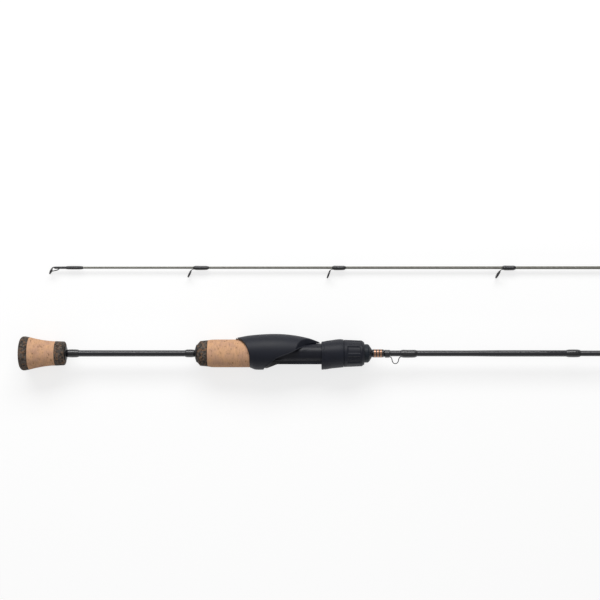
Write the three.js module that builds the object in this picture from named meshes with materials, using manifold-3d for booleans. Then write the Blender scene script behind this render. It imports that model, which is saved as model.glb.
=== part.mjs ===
// Two-piece ice fishing rod, taken down: the handle section and the tip section lie side by side.
//
// Millimetres. +X runs from the butt towards the front, +Y is the palm side (the reel's foot and the
// line guides face -Y) and +Z is up from the surface that the rod lies on. The origin is the centre
// of the flat that the reel's foot sits on. Each section is laid out in stations measured along its
// own axis: from the butt end for the handle section, from the tip for the tip section.

import * as THREE from "three";
import { mergeVertices } from "three/addons/utils/BufferGeometryUtils.js";
import Module from "manifold-3d";

const wasm = await Module();
wasm.setup();

// ---------------------------------------------------------------- driving dimensions

// overall
const handleLength = 560;
const tipLength = 542;
const sectionSpacing = 68.8;
const tipInset = 21;
const tipAxisHeight = 3.6;
const footCentre = 219.4;

// gaps
const glue = 0.15;
const running = 0.3;

// facets round a large turned piece and round a slim one
const wideSides = 32;
const slimSides = 16;

// butt knob
const buttRadius = 13.6;
const buttFillet = 3;
const capLength = 7;
const corkRimRadius = 12.95;
const corkNeckRadius = 9.7;
const buttCorkLength = 20.8;
const corkFlare = 1.7;
const buttCollarLength = 7.5;
const buttCollarRadius = 9.6;
const collarFillet = 1.2;
const buttCheckRadius = 5.6;
const buttCheckLength = 1;
const buttWrapLength = 9.6;

// handle blank
const blankRearRadius = 2.65;
const blankMidRadius = 2.4;
const blankJointRadius = 2.6;
const blankBoreRadius = 1.6;
const spliceStation = 442;

// split grip
const rearBlankShown = 105.5;
const gripCheckLength = 1.8;
const gripCheckRadius = 7;
const rearTrimLength = 7.6;
const gripCollarLength = 8.3;
const gripCollarRadius = 10.5;
const gripCollarChamfer = 2.4;
const gripRadius = 11.1;

// reel seat barrel, in stations from the centre of the foot's flat
const seatRear = -34;
const seatFront = 52;
const barrelRadius = 8;
const barrelBoreRadius = 6;
const footFlatHeight = 8.5;
const footFlatWidth = 10;
const footFlatFront = 25;
const threadRear = 26.5;
const threadPitch = 2;
const threadDepth = 0.45;
const arborLength = 18;

// seat shell
const shellRear = -47;
const shellLowerRear = -35.9;
const shellFront = 19.8;
const shellRearRise = 4.6;
const mouthStation = -25.6;
const mouthSlope = 0.41;

// pocket for each end of the reel's foot, below the barrel
const pocketMouthDepth = 11.4;
const pocketEndDepth = 10.2;
const pocketHalfWidth = 8.9;
const pocketLength = 11;
const linerWall = 0.6;
const linerTop = 6.2;

// sliding hood and lock nut
const hoodRear = 21.2;
const hoodLength = 17.6;
const hoodTravel = 10;
const hoodFrontRadius = 11.1;
const nutLength = 16.2;
const nutRearRadius = 10.9;
const nutFrontRadius = 10.2;
const nutNeckLength = 3;
const nutNeckRadius = 9.3;
const nutFlutes = 20;
const nutFluteDepth = 0.55;
const tongueSlope = 0.32;

// front cap, trim and keeper, in front of the seat
const frontCapRadius = 7.4;
const frontCapLength = 9.3;
const frontCapCone = 3.2;
const trimLength = 9.5;
const trimBuild = 0.75;
const bandWidth = 1.5;
const bandSpacing = 2.35;
const bandDepth = 0.3;
const keeperRearWrapLength = 5;
const keeperLoopLength = 8;
const keeperLoopDrop = 5.3;
const keeperFrontWrapLength = 13.4;
const keeperWireRadius = 0.35;

// wraps
const wrapBuild = 0.55;
const wrapEdge = 0.12;
const spliceWrapLength = 10.8;
const spliceSpigotLength = 60;

// front blank and ferrule
const frontBlankRadius = 2.3;
const ferruleDepth = 35;
const ferruleWrapLength = 16;
const spigotRadius = 1.42;
const spigotSocketDepth = 12;
const spigotTenonRadius = 0.9;
const stopWrapLength = 11;

// stripper guide on the front blank
const stripperStation = 511;

// tip blank
const tipRadius = 0.85;
const tipMidRadius = 1.2;
const tipMidStation = 410;
const tipTenonRadius = 0.66;

// tip-top
const tipTubeRear = 15.2;
const tipTubeFront = 4;
const tipTubeRadius = 1.05;
const tipRingDiameter = 5.4;
const tipRingLean = 22;

// line guides on the tip blank: station of the ring's upper edge, ring diameter, lean, wrap length
const tipGuides = [
  { station: 114.4, diameter: 6.3, lean: 25, wrap: 14.4 },
  { station: 226.6, diameter: 6.7, lean: 21, wrap: 12.8 },
  { station: 363.9, diameter: 7.0, lean: 31, wrap: 12.8 },
];

// ---------------------------------------------------------------- finishes: colour, roughness, metalness

const finishes = {
  cork: [0xd9a67a, 0.85, 0],
  composite: [0x5a5148, 0.85, 0],
  blank: [0x17171c, 0.3, 0.1],
  thread: [0x0d0d10, 0.15, 0],
  check: [0x121214, 0.5, 0],
  seat: [0x2a2c33, 0.6, 0],
  barrel: [0x1d1f26, 0.5, 0],
  liner: [0x15161a, 0.4, 0],
  cap: [0x20242c, 0.7, 0],
  copper: [0xb9855f, 0.3, 0.9],
  wire: [0x55565c, 0.25, 1],
  frame: [0x16161a, 0.3, 0.6],
  ceramic: [0x0c0c0e, 0.1, 0],
  tipBlank: [0x4b4c46, 0.35, 0.1],
  arbor: [0x8a8a86, 0.9, 0],
};

// ---------------------------------------------------------------- solids and outlines

// A closed geometry as a solid, with its faces turned outwards.
function toSolid(geometry) {
  const bare = geometry.clone();
  bare.deleteAttribute("normal");
  bare.deleteAttribute("uv");
  const merged = mergeVertices(bare, 1e-5);
  const corners = merged.attributes.position;
  const triangles = [];
  let volume = 0;
  for (let i = 0; i < merged.index.count; i += 3) {
    const [a, b, c] = [0, 1, 2].map((k) => merged.index.getX(i + k));
    if (a === b || b === c || c === a) continue;
    triangles.push(a, b, c);
    const [pa, pb, pc] = [a, b, c].map((k) => new THREE.Vector3().fromBufferAttribute(corners, k));
    volume += pa.dot(pb.cross(pc));
  }
  if (volume < 0) triangles.reverse();
  return new wasm.Manifold(new wasm.Mesh({
    numProp: 3,
    vertProperties: Float32Array.from(corners.array),
    triVerts: Uint32Array.from(triangles),
  }));
}

function toGeometry(solid) {
  const mesh = solid.getMesh();
  const geometry = new THREE.BufferGeometry();
  geometry.setAttribute("position", new THREE.BufferAttribute(mesh.vertProperties, 3));
  geometry.setIndex(new THREE.BufferAttribute(mesh.triVerts, 1));
  geometry.computeVertexNormals();
  return geometry;
}

function addPiece(group, name, finish, solid) {
  const [color, roughness, metalness] = finishes[finish];
  const mesh = new THREE.Mesh(
    toGeometry(solid),
    new THREE.MeshStandardMaterial({ color, roughness, metalness }),
  );
  mesh.name = name;
  group.add(mesh);
}

// A solid of revolution about X from an outline of [station, radius] points.
function turned(outline, sides) {
  const points = outline.map(([x, r]) => new THREE.Vector2(r, x));
  const lathe = new THREE.LatheGeometry(points, sides);
  lathe.rotateZ(-Math.PI / 2);
  return toSolid(lathe);
}

function rod(rear, front, radius, sides) {
  return turned([[rear, 0], [rear, radius], [front, radius], [front, 0]], sides);
}

// A tube: its outside and its bore both run from the rear to the front.
function sleeve(outside, bore, sides) {
  return turned([...outside, ...[...bore].reverse(), outside[0]], sides);
}

// Points of a quarter round in an outline, about (x, r), from one angle to another in degrees.
function arc(x, r, radius, from, to, steps) {
  return Array.from({ length: steps + 1 }, (_, i) => {
    const angle = THREE.MathUtils.degToRad(THREE.MathUtils.lerp(from, to, i / steps));
    return [x + radius * Math.cos(angle), r + radius * Math.sin(angle)];
  });
}

// A smooth function of the station through a few [station, value] points.
function smoothThrough(points) {
  const stations = points.map((point) => point[0]);
  const values = points.map((point) => point[1]);
  const interpolant = new THREE.CubicInterpolant(stations, values, 1);
  return (x) => interpolant.evaluate(x)[0];
}

// A solid whose sections across X change along it. reach(x, angle) is the section's [y, z] there.
function lofted(stations, sides, reach) {
  const corners = [];
  for (const x of stations) {
    for (let i = 0; i < sides; i++) {
      const [y, z] = reach(x, (2 * Math.PI * i) / sides);
      corners.push(x, y, z);
    }
  }
  const ends = [0, stations.length - 1].map((ring) => {
    corners.push(stations[ring], 0, 0);
    return corners.length / 3 - 1;
  });
  const triangles = [];
  for (let ring = 0; ring < stations.length - 1; ring++) {
    for (let i = 0; i < sides; i++) {
      const a = ring * sides + i;
      const b = ring * sides + ((i + 1) % sides);
      triangles.push(a, b, b + sides, a, b + sides, a + sides);
    }
  }
  const last = (stations.length - 1) * sides;
  for (let i = 0; i < sides; i++) {
    const next = (i + 1) % sides;
    triangles.push(ends[0], next, i, ends[1], last + i, last + next);
  }
  const geometry = new THREE.BufferGeometry();
  geometry.setAttribute("position", new THREE.Float32BufferAttribute(corners, 3));
  geometry.setIndex(triangles);
  return toSolid(geometry);
}

// A section that is round in plan but has its own reach upwards, downwards and sideways.
function oval(up, down, side) {
  return (x, angle) => {
    const y = -Math.sin(angle);
    return [y * (y > 0 ? up(x) : down(x)), Math.cos(angle) * side(x)];
  };
}

function evenly(from, to, count) {
  return Array.from({ length: count + 1 }, (_, i) => THREE.MathUtils.lerp(from, to, i / count));
}

function box(x, y, z) {
  const geometry = new THREE.BoxGeometry(x[1] - x[0], y[1] - y[0], z[1] - z[0]);
  geometry.translate((x[0] + x[1]) / 2, (y[0] + y[1]) / 2, (z[0] + z[1]) / 2);
  return toSolid(geometry);
}

// A side view in X and Y, extruded across Z.
function sideProfile(shape, halfWidth, steps = 12) {
  const geometry = new THREE.ExtrudeGeometry(shape, {
    depth: 2 * halfWidth,
    bevelEnabled: false,
    curveSegments: steps,
  });
  geometry.translate(0, 0, -halfWidth);
  return toSolid(geometry);
}

// A plan view in X and Z, extruded upwards along Y from a given height.
function planProfile(points, from, height) {
  const shape = new THREE.Shape(points.map(([x, z]) => new THREE.Vector2(x, z)));
  const geometry = new THREE.ExtrudeGeometry(shape, { depth: height, bevelEnabled: false });
  geometry.rotateX(Math.PI / 2);
  geometry.translate(0, from + height, 0);
  return toSolid(geometry);
}

// A round wire along a curve.
function wireAlong(curve, radius, sides, steps) {
  const section = new THREE.Shape().absarc(0, 0, radius, 0, 2 * Math.PI);
  return toSolid(new THREE.ExtrudeGeometry(section, {
    extrudePath: curve,
    steps,
    curveSegments: sides / 2,
    bevelEnabled: false,
  }));
}

// ---------------------------------------------------------------- blanks and what is wound on them

const handleTaper = [
  [0, blankRearRadius],
  [footCentre + seatFront, blankMidRadius],
  [footCentre + 140, blankMidRadius],
  [footCentre + 164, blankJointRadius],
  [spliceStation, blankJointRadius],
];

const frontTaper = [
  [spliceStation, frontBlankRadius],
  [handleLength, frontBlankRadius],
];

const tipTaper = [
  [tipTubeRear, tipRadius],
  [tipMidStation, tipMidRadius],
  [tipLength - ferruleDepth, tipMidRadius + 0.1],
];

function radiusAt(taper, x) {
  const after = Math.max(1, taper.findIndex((point) => point[0] >= x));
  const [[x0, r0], [x1, r1]] = [taper[after - 1], taper[after]];
  return THREE.MathUtils.mapLinear(x, x0, x1, r0, r1);
}

// The taper's own points between two stations, raised by a gap.
function along(taper, rear, front, raise) {
  const between = taper.filter((point) => point[0] > rear && point[0] < front);
  const ends = [rear, front].map((x) => [x, radiusAt(taper, x)]);
  return [ends[0], ...between, ends[1]].map(([x, r]) => [x, r + raise]);
}

// The outside of a thread wrap under epoxy: low at both ends and full between.
function wrapOutside(taper, rear, front, build) {
  return evenly(0, 1, 6).map((t) => {
    const x = THREE.MathUtils.lerp(rear, front, t);
    const fullness = Math.max(0, Math.sin(Math.PI * t)) ** 0.4;
    return [x, radiusAt(taper, x) + glue + wrapEdge + (build - wrapEdge) * fullness];
  });
}

function threadWrap(taper, rear, front, build) {
  return sleeve(wrapOutside(taper, rear, front, build), along(taper, rear, front, glue), slimSides);
}

// A wrap with copper-coloured bands let into it. Returns the wrap and the list of bands.
function bandedWrap(taper, rear, front, build, bandCentres) {
  const surface = radiusAt(taper, (rear + front) / 2) + glue + build;
  const groove = surface - bandDepth - glue;
  const outside = [[rear, surface - build / 2], [rear + 0.6, surface]];
  for (const centre of bandCentres) {
    const half = bandWidth / 2 + glue;
    outside.push([centre - half, surface], [centre - half, groove]);
    outside.push([centre + half, groove], [centre + half, surface]);
  }
  outside.push([front - 0.6, surface], [front, surface - build / 2]);
  const bands = bandCentres.map((centre) => {
    const [x0, x1] = [centre - bandWidth / 2, centre + bandWidth / 2];
    return sleeve([[x0, surface], [x1, surface]], [[x0, groove + glue], [x1, groove + glue]], slimSides);
  });
  return { wrap: sleeve(outside, along(taper, rear, front, glue), slimSides), bands };
}

// ---------------------------------------------------------------- butt knob

const buttCorkFront = capLength + glue + buttCorkLength;
const buttCollarFront = buttCorkFront + glue + buttCollarLength;
const buttCheckFront = buttCollarFront + glue + buttCheckLength;

function addButt(handle) {
  const lowRim = buttRadius - buttFillet;
  addPiece(handle, "butt_cap", "composite", turned([
    [0, 0],
    ...arc(buttFillet, lowRim, buttFillet, 180, 90, 6),
    [capLength, corkRimRadius],
    [capLength, 0],
  ], wideSides));

  const corkRear = capLength + glue;
  const flare = evenly(0, 1, 6).map((t) => [
    THREE.MathUtils.lerp(corkRear, buttCorkFront, t),
    corkNeckRadius + (corkRimRadius - corkNeckRadius) * (1 - t) ** corkFlare,
  ]);
  addPiece(handle, "butt_cork", "cork", sleeve(
    flare, along(handleTaper, corkRear, buttCorkFront, glue), wideSides));

  const collarRear = buttCorkFront + glue;
  const roundFrom = buttCollarFront - collarFillet;
  addPiece(handle, "butt_collar", "composite", sleeve([
    [collarRear, corkNeckRadius + 0.1],
    ...arc(roundFrom, buttCollarRadius - 0.2 - collarFillet, collarFillet, 90, 0, 4),
  ], along(handleTaper, collarRear, buttCollarFront, glue), wideSides));

  const checkRear = buttCollarFront + glue;
  addPiece(handle, "butt_check", "check", sleeve([
    [checkRear, buttCheckRadius],
    [checkRear + buttCheckLength * 0.6, buttCheckRadius],
    [buttCheckFront, buttCheckRadius - 0.6],
  ], along(handleTaper, checkRear, buttCheckFront, glue), wideSides));

  const wrapRear = buttCheckFront + glue;
  addPiece(handle, "butt_wrap", "thread",
    threadWrap(handleTaper, wrapRear, wrapRear + buttWrapLength, wrapBuild));
}

// ---------------------------------------------------------------- split grip

const gripCollarRear = buttCollarFront + rearBlankShown + glue;
const gripCorkRear = gripCollarRear + gripCollarLength + glue;
const gripCorkFront = footCentre + seatRear - 2 * glue;

function addGrip(handle) {
  const checkFront = gripCollarRear - glue;
  const checkRear = checkFront - gripCheckLength;
  const checkHole = radiusAt(handleTaper, checkRear) + glue;
  addPiece(handle, "grip_check", "check", sleeve([
    [checkRear, checkHole + 0.7],
    [checkFront - 0.5, gripCheckRadius],
    [checkFront, gripCheckRadius],
  ], along(handleTaper, checkRear, checkFront, glue), wideSides));

  const trimFront = checkRear - glue;
  addPiece(handle, "rear_trim_wrap", "thread",
    threadWrap(handleTaper, trimFront - rearTrimLength, trimFront, wrapBuild));

  const collarFront = gripCollarRear + gripCollarLength;
  addPiece(handle, "grip_collar", "composite", sleeve([
    [gripCollarRear, gripCheckRadius + 0.2],
    [gripCollarRear + gripCollarChamfer, gripCollarRadius - 0.6],
    [collarFront, gripCollarRadius],
  ], along(handleTaper, gripCollarRear, collarFront, glue), wideSides));

  addPiece(handle, "grip_cork", "cork", sleeve([
    [gripCorkRear, gripCollarRadius],
    [gripCorkRear + 3, gripRadius - 0.12],
    [gripCorkRear + 9, gripRadius],
    [gripCorkFront, gripRadius],
  ], along(handleTaper, gripCorkRear, gripCorkFront, glue), wideSides));
}

// ---------------------------------------------------------------- reel seat: barrel, shell and pockets

// What a piece that fits round the barrel and its foot pad leaves free.
function barrelSpace(rear, front, gap) {
  const pad = box(
    [rear, Math.min(front, footFlatFront + gap)],
    [-footFlatHeight - gap, 0],
    [-footFlatWidth / 2 - gap, footFlatWidth / 2 + gap],
  );
  return rod(rear, front, barrelRadius + gap, wideSides).add(pad);
}

function seatBarrel() {
  const outline = [[seatRear, 0], [seatRear, barrelRadius], [threadRear, barrelRadius]];
  for (let x = threadRear + threadPitch / 2; x < seatFront - threadPitch; x += threadPitch) {
    outline.push([x, barrelRadius - threadDepth], [x + threadPitch / 2, barrelRadius]);
  }
  outline.push([seatFront, barrelRadius - threadDepth], [seatFront, 0]);
  const tube = turned(outline, wideSides);
  const pad = box([seatRear, footFlatFront], [-footFlatHeight, 0], [-footFlatWidth / 2, footFlatWidth / 2]);
  const bore = rod(seatRear - 1, seatFront + 1, barrelBoreRadius, wideSides);
  return tube.add(pad).subtract(bore);
}

// The wedge-shaped tunnel below the barrel for one end of the reel's foot. It runs from its mouth
// towards -X or +X, and grows by a wall where the wall's outside or the space around it is wanted.
function pocketTunnel(mouth, direction, overrun, grow) {
  const end = mouth + direction * (pocketLength + grow);
  const start = mouth - direction * overrun;
  const slope = (pocketEndDepth - pocketMouthDepth) / pocketLength;
  const depth = (x) => pocketMouthDepth + grow + slope * Math.abs(x - mouth) * Math.sign((x - mouth) * direction);
  const side = () => pocketHalfWidth + grow;
  const tunnel = lofted([start, end].sort((a, b) => a - b), wideSides, oval(depth, depth, side));
  const ceiling = grow === 0 ? 0 : -linerTop + grow - linerWall;
  return tunnel.intersect(box([-100, 100], [-20, ceiling], [-20, 20]));
}

// The dark insert that lines a pocket.
function pocketLiner(mouth, direction, overrun) {
  return pocketTunnel(mouth, direction, overrun, linerWall)
    .subtract(pocketTunnel(mouth, direction, overrun + 1, 0))
    .subtract(barrelSpace(-100, 100, glue));
}

const fixedPocketMouth = seatRear + pocketLength + linerWall + glue;

// Side view of what the slanted mouth of the fixed hood cuts away, in front of its lower lip.
function mouthCut() {
  const top = 2;
  const lip = -footFlatHeight - 4.6;
  return sideProfile(new THREE.Shape([
    new THREE.Vector2(mouthStation, lip - 3),
    new THREE.Vector2(mouthStation, lip),
    new THREE.Vector2(mouthStation + (top - lip) / mouthSlope, top),
    new THREE.Vector2(seatFront, top),
    new THREE.Vector2(seatFront, lip - 3),
  ]), 20);
}

function fixedHoodLiner() {
  return pocketLiner(fixedPocketMouth, -1, 20).subtract(mouthCut());
}

// The palm side, belly and flanks of the shell.
const shellTop = smoothThrough([
  [shellRear, 12.4], [-36, 14.4], [-18.4, 15.6], [-4, 14.9], [10.4, 12.3], [shellFront, 8.95],
]);
const shellBelly = smoothThrough([
  [shellRear, 11.4], [shellLowerRear, 11.5], [-32, 12.9], [mouthStation, 13.1], [shellFront, 13.1],
]);
const shellFlank = smoothThrough([
  [shellRear, 12.1], [-36, 12.9], [-20, 13.5], [-8, 13.55], [10.4, 11.4], [shellFront, 9.2],
]);

// The curved rear edge: the shell reaches furthest back over the cork on the palm side.
function shellRearCut() {
  const shape = new THREE.Shape();
  shape.moveTo(shellRear - 5, -30);
  shape.lineTo(shellLowerRear, -30);
  shape.absellipse(
    shellRear, -shellRearRise,
    shellLowerRear - shellRear, shellTop(shellRear) + shellRearRise,
    0, Math.PI / 2, false, 0,
  );
  shape.lineTo(shellRear - 5, shellTop(shellRear));
  return sideProfile(shape, 30, 14);
}

// The sweeping lower edge that uncovers the barrel, from the mouth of the fixed hood to the tongue.
function shellSweepCut() {
  const shape = new THREE.Shape();
  shape.moveTo(mouthStation, -30);
  shape.lineTo(mouthStation, -14);
  shape.splineThru([
    new THREE.Vector2(-24.2, -11.2),
    new THREE.Vector2(-18.4, -6.4),
    new THREE.Vector2(-14.7, -3.4),
    new THREE.Vector2(-3.4, 0.9),
    new THREE.Vector2(3.5, 4.3),
    new THREE.Vector2(10.4, 6.5),
    new THREE.Vector2(shellFront + 1, 8.5),
  ]);
  shape.lineTo(shellFront + 20, -30);
  return sideProfile(shape, 30, 20);
}

// Plan view of what lies beside the tongue, on one side: the tongue narrows in front so that the
// notch of the sliding hood can pass over it.
function besideTongue(side) {
  const hoodStop = hoodRear - hoodTravel;
  const tongueRoot = tongueSlope * (shellFront - hoodStop) + 0.6;
  return planProfile([
    [hoodStop - 11, side * 20],
    [hoodStop - 11, side * 13],
    [hoodStop - 7, side * (tongueRoot + 5)],
    [hoodStop - 3, side * (tongueRoot + 1.7)],
    [hoodStop - 0.5, side * (tongueRoot + 0.1)],
    [shellFront + 1, side * 0.45],
    [shellFront + 1, side * 20],
  ], -20, 60);
}

function seatShell() {
  const outside = lofted(
    evenly(shellRear, shellFront, 20), wideSides, oval(shellTop, shellBelly, shellFlank));
  const corkSpace = rod(shellRear - 1, seatRear - glue, gripRadius + glue, wideSides);
  return outside
    .subtract(shellRearCut())
    .subtract(shellSweepCut())
    .subtract(besideTongue(1))
    .subtract(besideTongue(-1))
    .subtract(corkSpace)
    .subtract(barrelSpace(seatRear - 1, shellFront + 1, glue))
    .subtract(pocketTunnel(fixedPocketMouth, -1, 20, linerWall + glue));
}

function addArbors(seat) {
  const names = ["rear_arbor", "middle_arbor", "front_arbor"];
  const spare = seatFront - seatRear - names.length * arborLength;
  const pitch = arborLength + spare / names.length;
  names.forEach((name, i) => {
    const rear = footCentre + seatRear + spare / (2 * names.length) + i * pitch;
    const front = rear + arborLength;
    const outer = barrelBoreRadius - glue;
    const bush = sleeve(
      [[rear, outer], [front, outer]], along(handleTaper, rear, front, glue), wideSides);
    addPiece(seat, name, "arbor", bush.translate([-footCentre, 0, 0]));
  });
}

// ---------------------------------------------------------------- sliding hood and lock nut

const hoodFront = hoodRear + hoodLength;
const hoodPocketMouth = hoodRear;
const nutRear = hoodFront + running;
const nutFront = nutRear + nutLength;

const hoodTop = smoothThrough([
  [hoodRear, 9.9], [hoodRear + 7, 10.6], [hoodFront - 3, 11.4], [hoodFront, hoodFrontRadius],
]);
const hoodBelly = smoothThrough([
  [hoodRear, 13.1], [hoodRear + 3, 12.9], [hoodRear + 8, 12.1],
  [hoodRear + 13, 11.6], [hoodFront, hoodFrontRadius],
]);
const hoodFlank = smoothThrough([
  [hoodRear, 10.9], [hoodRear + 8, 11.2], [hoodFront - 3, 11.4], [hoodFront, hoodFrontRadius],
]);

// Plan view of the notch that passes over the shell's tongue.
function tongueNotch() {
  const half = tongueSlope * (shellFront - (hoodRear - hoodTravel)) + 0.6 + running;
  const depth = shellFront - (hoodRear - hoodTravel) + 1.4;
  return planProfile([
    [hoodRear - 1, -half - tongueSlope],
    [hoodRear - 1, half + tongueSlope],
    [hoodRear + depth, 0.9],
    [hoodRear + depth, -0.9],
  ], 0, 30);
}

function slidingHood() {
  const outside = lofted(
    evenly(hoodRear, hoodFront, 10), wideSides, oval(hoodTop, hoodBelly, hoodFlank));
  const keyway = box(
    [hoodRear - 1, hoodFront - nutNeckLength],
    [-footFlatHeight - running, 0],
    [-footFlatWidth / 2 - running, footFlatWidth / 2 + running],
  );
  return outside
    .subtract(rod(hoodRear - 1, hoodFront + 1, barrelRadius + running, wideSides))
    .subtract(keyway)
    .subtract(rod(hoodFront - nutNeckLength - running, hoodFront + 1, nutNeckRadius + running, wideSides))
    .subtract(pocketTunnel(hoodPocketMouth, 1, 1, linerWall + glue))
    .subtract(tongueNotch());
}

function slidingHoodLiner() {
  return pocketTunnel(hoodPocketMouth, 1, 0, linerWall)
    .subtract(pocketTunnel(hoodPocketMouth, 1, 1, 0))
    .subtract(box(
      [hoodRear - 1, hoodFront],
      [-footFlatHeight - running, 0],
      [-footFlatWidth / 2 - running, footFlatWidth / 2 + running],
    ))
    .subtract(rod(hoodRear - 1, hoodFront + 1, barrelRadius + running, wideSides));
}

// The lock nut: fluted outside, with a neck that turns in the hood.
function lockNut() {
  const chamfer = 2;
  const fluteRear = nutRear + 2.4;
  const fluteFront = nutFront - chamfer - 1;
  const reach = (x, angle) => {
    const body = THREE.MathUtils.mapLinear(x, nutRear, nutFront, nutRearRadius, nutFrontRadius);
    const edge = Math.max(0, x - (nutFront - chamfer)) * 0.7;
    const inFlute = x > fluteRear + 0.1 && x < fluteFront - 0.1;
    const flute = inFlute ? nutFluteDepth * Math.max(0, Math.cos(angle * nutFlutes)) : 0;
    const r = body - edge - flute;
    return [-Math.sin(angle) * r, Math.cos(angle) * r];
  };
  const stations = [
    nutRear, fluteRear, fluteRear + 1.2, fluteFront - 1.2, fluteFront, nutFront - chamfer, nutFront,
  ];
  const neck = rod(nutRear - nutNeckLength, nutRear + 1, nutNeckRadius, wideSides);
  return lofted(stations, nutFlutes * 2, reach)
    .add(neck)
    .subtract(rod(nutRear - nutNeckLength - 1, nutFront + 1, barrelRadius + running, wideSides));
}

// ---------------------------------------------------------------- in front of the seat

const frontCapRear = footCentre + seatFront + glue;
const trimRear = frontCapRear + frontCapLength + glue;
const keeperRear = trimRear + trimLength + glue;
const keeperLoopRear = keeperRear + keeperRearWrapLength;
const keeperLoopFront = keeperLoopRear + keeperLoopLength;
const keeperFront = keeperLoopFront + keeperFrontWrapLength;

function addFrontCap(handle) {
  const front = frontCapRear + frontCapLength;
  addPiece(handle, "seat_front_cap", "cap", sleeve([
    [frontCapRear, frontCapRadius],
    [front - frontCapCone, frontCapRadius],
    [front - frontCapCone * 0.7, frontCapRadius - 0.7],
    [front, radiusAt(handleTaper, front) + 0.8],
  ], along(handleTaper, frontCapRear, front, glue), wideSides));
}

function addTrim(handle) {
  const middle = trimRear + trimLength / 2 - 0.1;
  const centres = [-1, 0, 1].map((step) => middle + step * bandSpacing);
  const { wrap, bands } = bandedWrap(handleTaper, trimRear, trimRear + trimLength, trimBuild, centres);
  addPiece(handle, "trim_wrap", "thread", wrap);
  bands.forEach((band, i) => addPiece(handle, `trim_band_${i + 1}`, "copper", band));
}

// The keeper's two feet lie on the blank's lower side; its loop hangs between them.
function keeperWire(radius) {
  const footHeight = -(blankMidRadius + glue + keeperWireRadius);
  const bottom = footHeight - keeperLoopDrop;
  const middle = (keeperLoopRear + keeperLoopFront) / 2;
  const route = new THREE.CatmullRomCurve3([
    new THREE.Vector3(keeperRear + 0.6, footHeight, 0),
    new THREE.Vector3(keeperRear + 2.6, footHeight, 0),
    new THREE.Vector3(keeperLoopRear - 0.6, footHeight, 0),
    new THREE.Vector3(keeperLoopRear + 0.9, footHeight - 1.4, 0),
    new THREE.Vector3(middle - 1.9, bottom + 1.9, 0),
    new THREE.Vector3(middle - 0.4, bottom, 0),
    new THREE.Vector3(middle + 1.5, bottom + 1.9, 0),
    new THREE.Vector3(keeperLoopFront - 1.0, footHeight - 1.4, 0),
    new THREE.Vector3(keeperLoopFront + 0.6, footHeight, 0),
    new THREE.Vector3(keeperLoopFront + 3, footHeight, 0),
    new THREE.Vector3(keeperLoopFront + 6.5, footHeight, 0),
  ]);
  return wireAlong(route, radius, 8, 40);
}

// A wrap over the keeper's foot: it sits low, so that it covers the wire on the blank's lower side.
function keeperWrap(rear, front) {
  const drop = 0.35;
  const build = keeperWireRadius + 0.55;
  const outside = turned(
    [[rear, 0], ...wrapOutside(handleTaper, rear, front, build), [front, 0]], slimSides);
  const hole = turned(
    [[rear - 1, 0], ...along(handleTaper, rear - 1, front + 1, glue), [front + 1, 0]], slimSides);
  return outside.translate([0, -drop, 0]).subtract(hole).subtract(keeperWire(keeperWireRadius + 0.12));
}

function addKeeper(handle) {
  addPiece(handle, "keeper_rear_wrap", "thread", keeperWrap(keeperRear, keeperLoopRear));
  addPiece(handle, "hook_keeper", "wire", keeperWire(keeperWireRadius));
  addPiece(handle, "keeper_front_wrap", "thread", keeperWrap(keeperLoopFront, keeperFront));
}

// ---------------------------------------------------------------- blanks, splice and ferrule

function addBlanks(handle) {
  const rear = capLength + glue;
  const spliceRear = spliceStation - glue;
  addPiece(handle, "handle_blank", "blank", sleeve(
    along(handleTaper, rear, spliceRear, 0),
    [[rear, blankBoreRadius], [spliceRear, blankBoreRadius]], slimSides));
  const mouth = handleLength;
  addPiece(handle, "front_blank", "blank", sleeve(
    [[spliceStation, frontBlankRadius], [mouth, frontBlankRadius]],
    [[spliceStation, blankBoreRadius], [mouth, blankBoreRadius]], slimSides));
  const spigotHalf = spliceSpigotLength / 2;
  addPiece(handle, "splice_spigot", "blank",
    rod(spliceStation - spigotHalf, spliceStation + spigotHalf, blankBoreRadius - glue, slimSides));

  const wrapRear = spliceStation - spliceWrapLength / 2;
  const wrapFront = wrapRear + spliceWrapLength;
  const cover = [
    [spliceStation - spliceWrapLength, blankJointRadius],
    [spliceStation + spliceWrapLength, blankJointRadius],
  ];
  addPiece(handle, "splice_wrap", "thread", threadWrap(cover, wrapRear, wrapFront, wrapBuild - 0.1));

  const bandedRear = mouth - ferruleWrapLength;
  const centres = [-1, 1].map((step) => bandedRear + ferruleWrapLength / 2 + step * bandSpacing);
  const { wrap, bands } = bandedWrap(frontTaper, bandedRear, mouth, trimBuild, centres);
  addPiece(handle, "ferrule_wrap", "thread", wrap);
  bands.forEach((band, i) => addPiece(handle, `ferrule_band_${i + 1}`, "copper", band));
}

function addTipBlank(tip) {
  const shoulder = tipLength - ferruleDepth;
  addPiece(tip, "tip_blank", "tipBlank", turned([
    [tipTubeFront + 1.5, 0],
    [tipTubeFront + 1.5, tipTenonRadius],
    [tipTubeRear + glue, tipTenonRadius],
    ...along(tipTaper, tipTubeRear + glue, shoulder, 0),
    [shoulder, spigotTenonRadius],
    [shoulder + spigotSocketDepth, spigotTenonRadius],
    [shoulder + spigotSocketDepth, 0],
  ], slimSides));
  const socketEnd = shoulder + spigotSocketDepth + glue;
  addPiece(tip, "ferrule_spigot", "blank", turned([
    [shoulder + glue, spigotTenonRadius + glue],
    [shoulder + glue, spigotRadius],
    [tipLength - 0.8, spigotRadius],
    [tipLength, spigotRadius - 0.4],
    [tipLength, 0],
    [socketEnd, 0],
    [socketEnd, spigotTenonRadius + glue],
    [shoulder + glue, spigotTenonRadius + glue],
  ], slimSides));
  addPiece(tip, "ferrule_stop_wrap", "thread",
    threadWrap(tipTaper, shoulder - stopWrapLength, shoulder, frontBlankRadius - tipMidRadius - glue));
}

// ---------------------------------------------------------------- line guides

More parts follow.
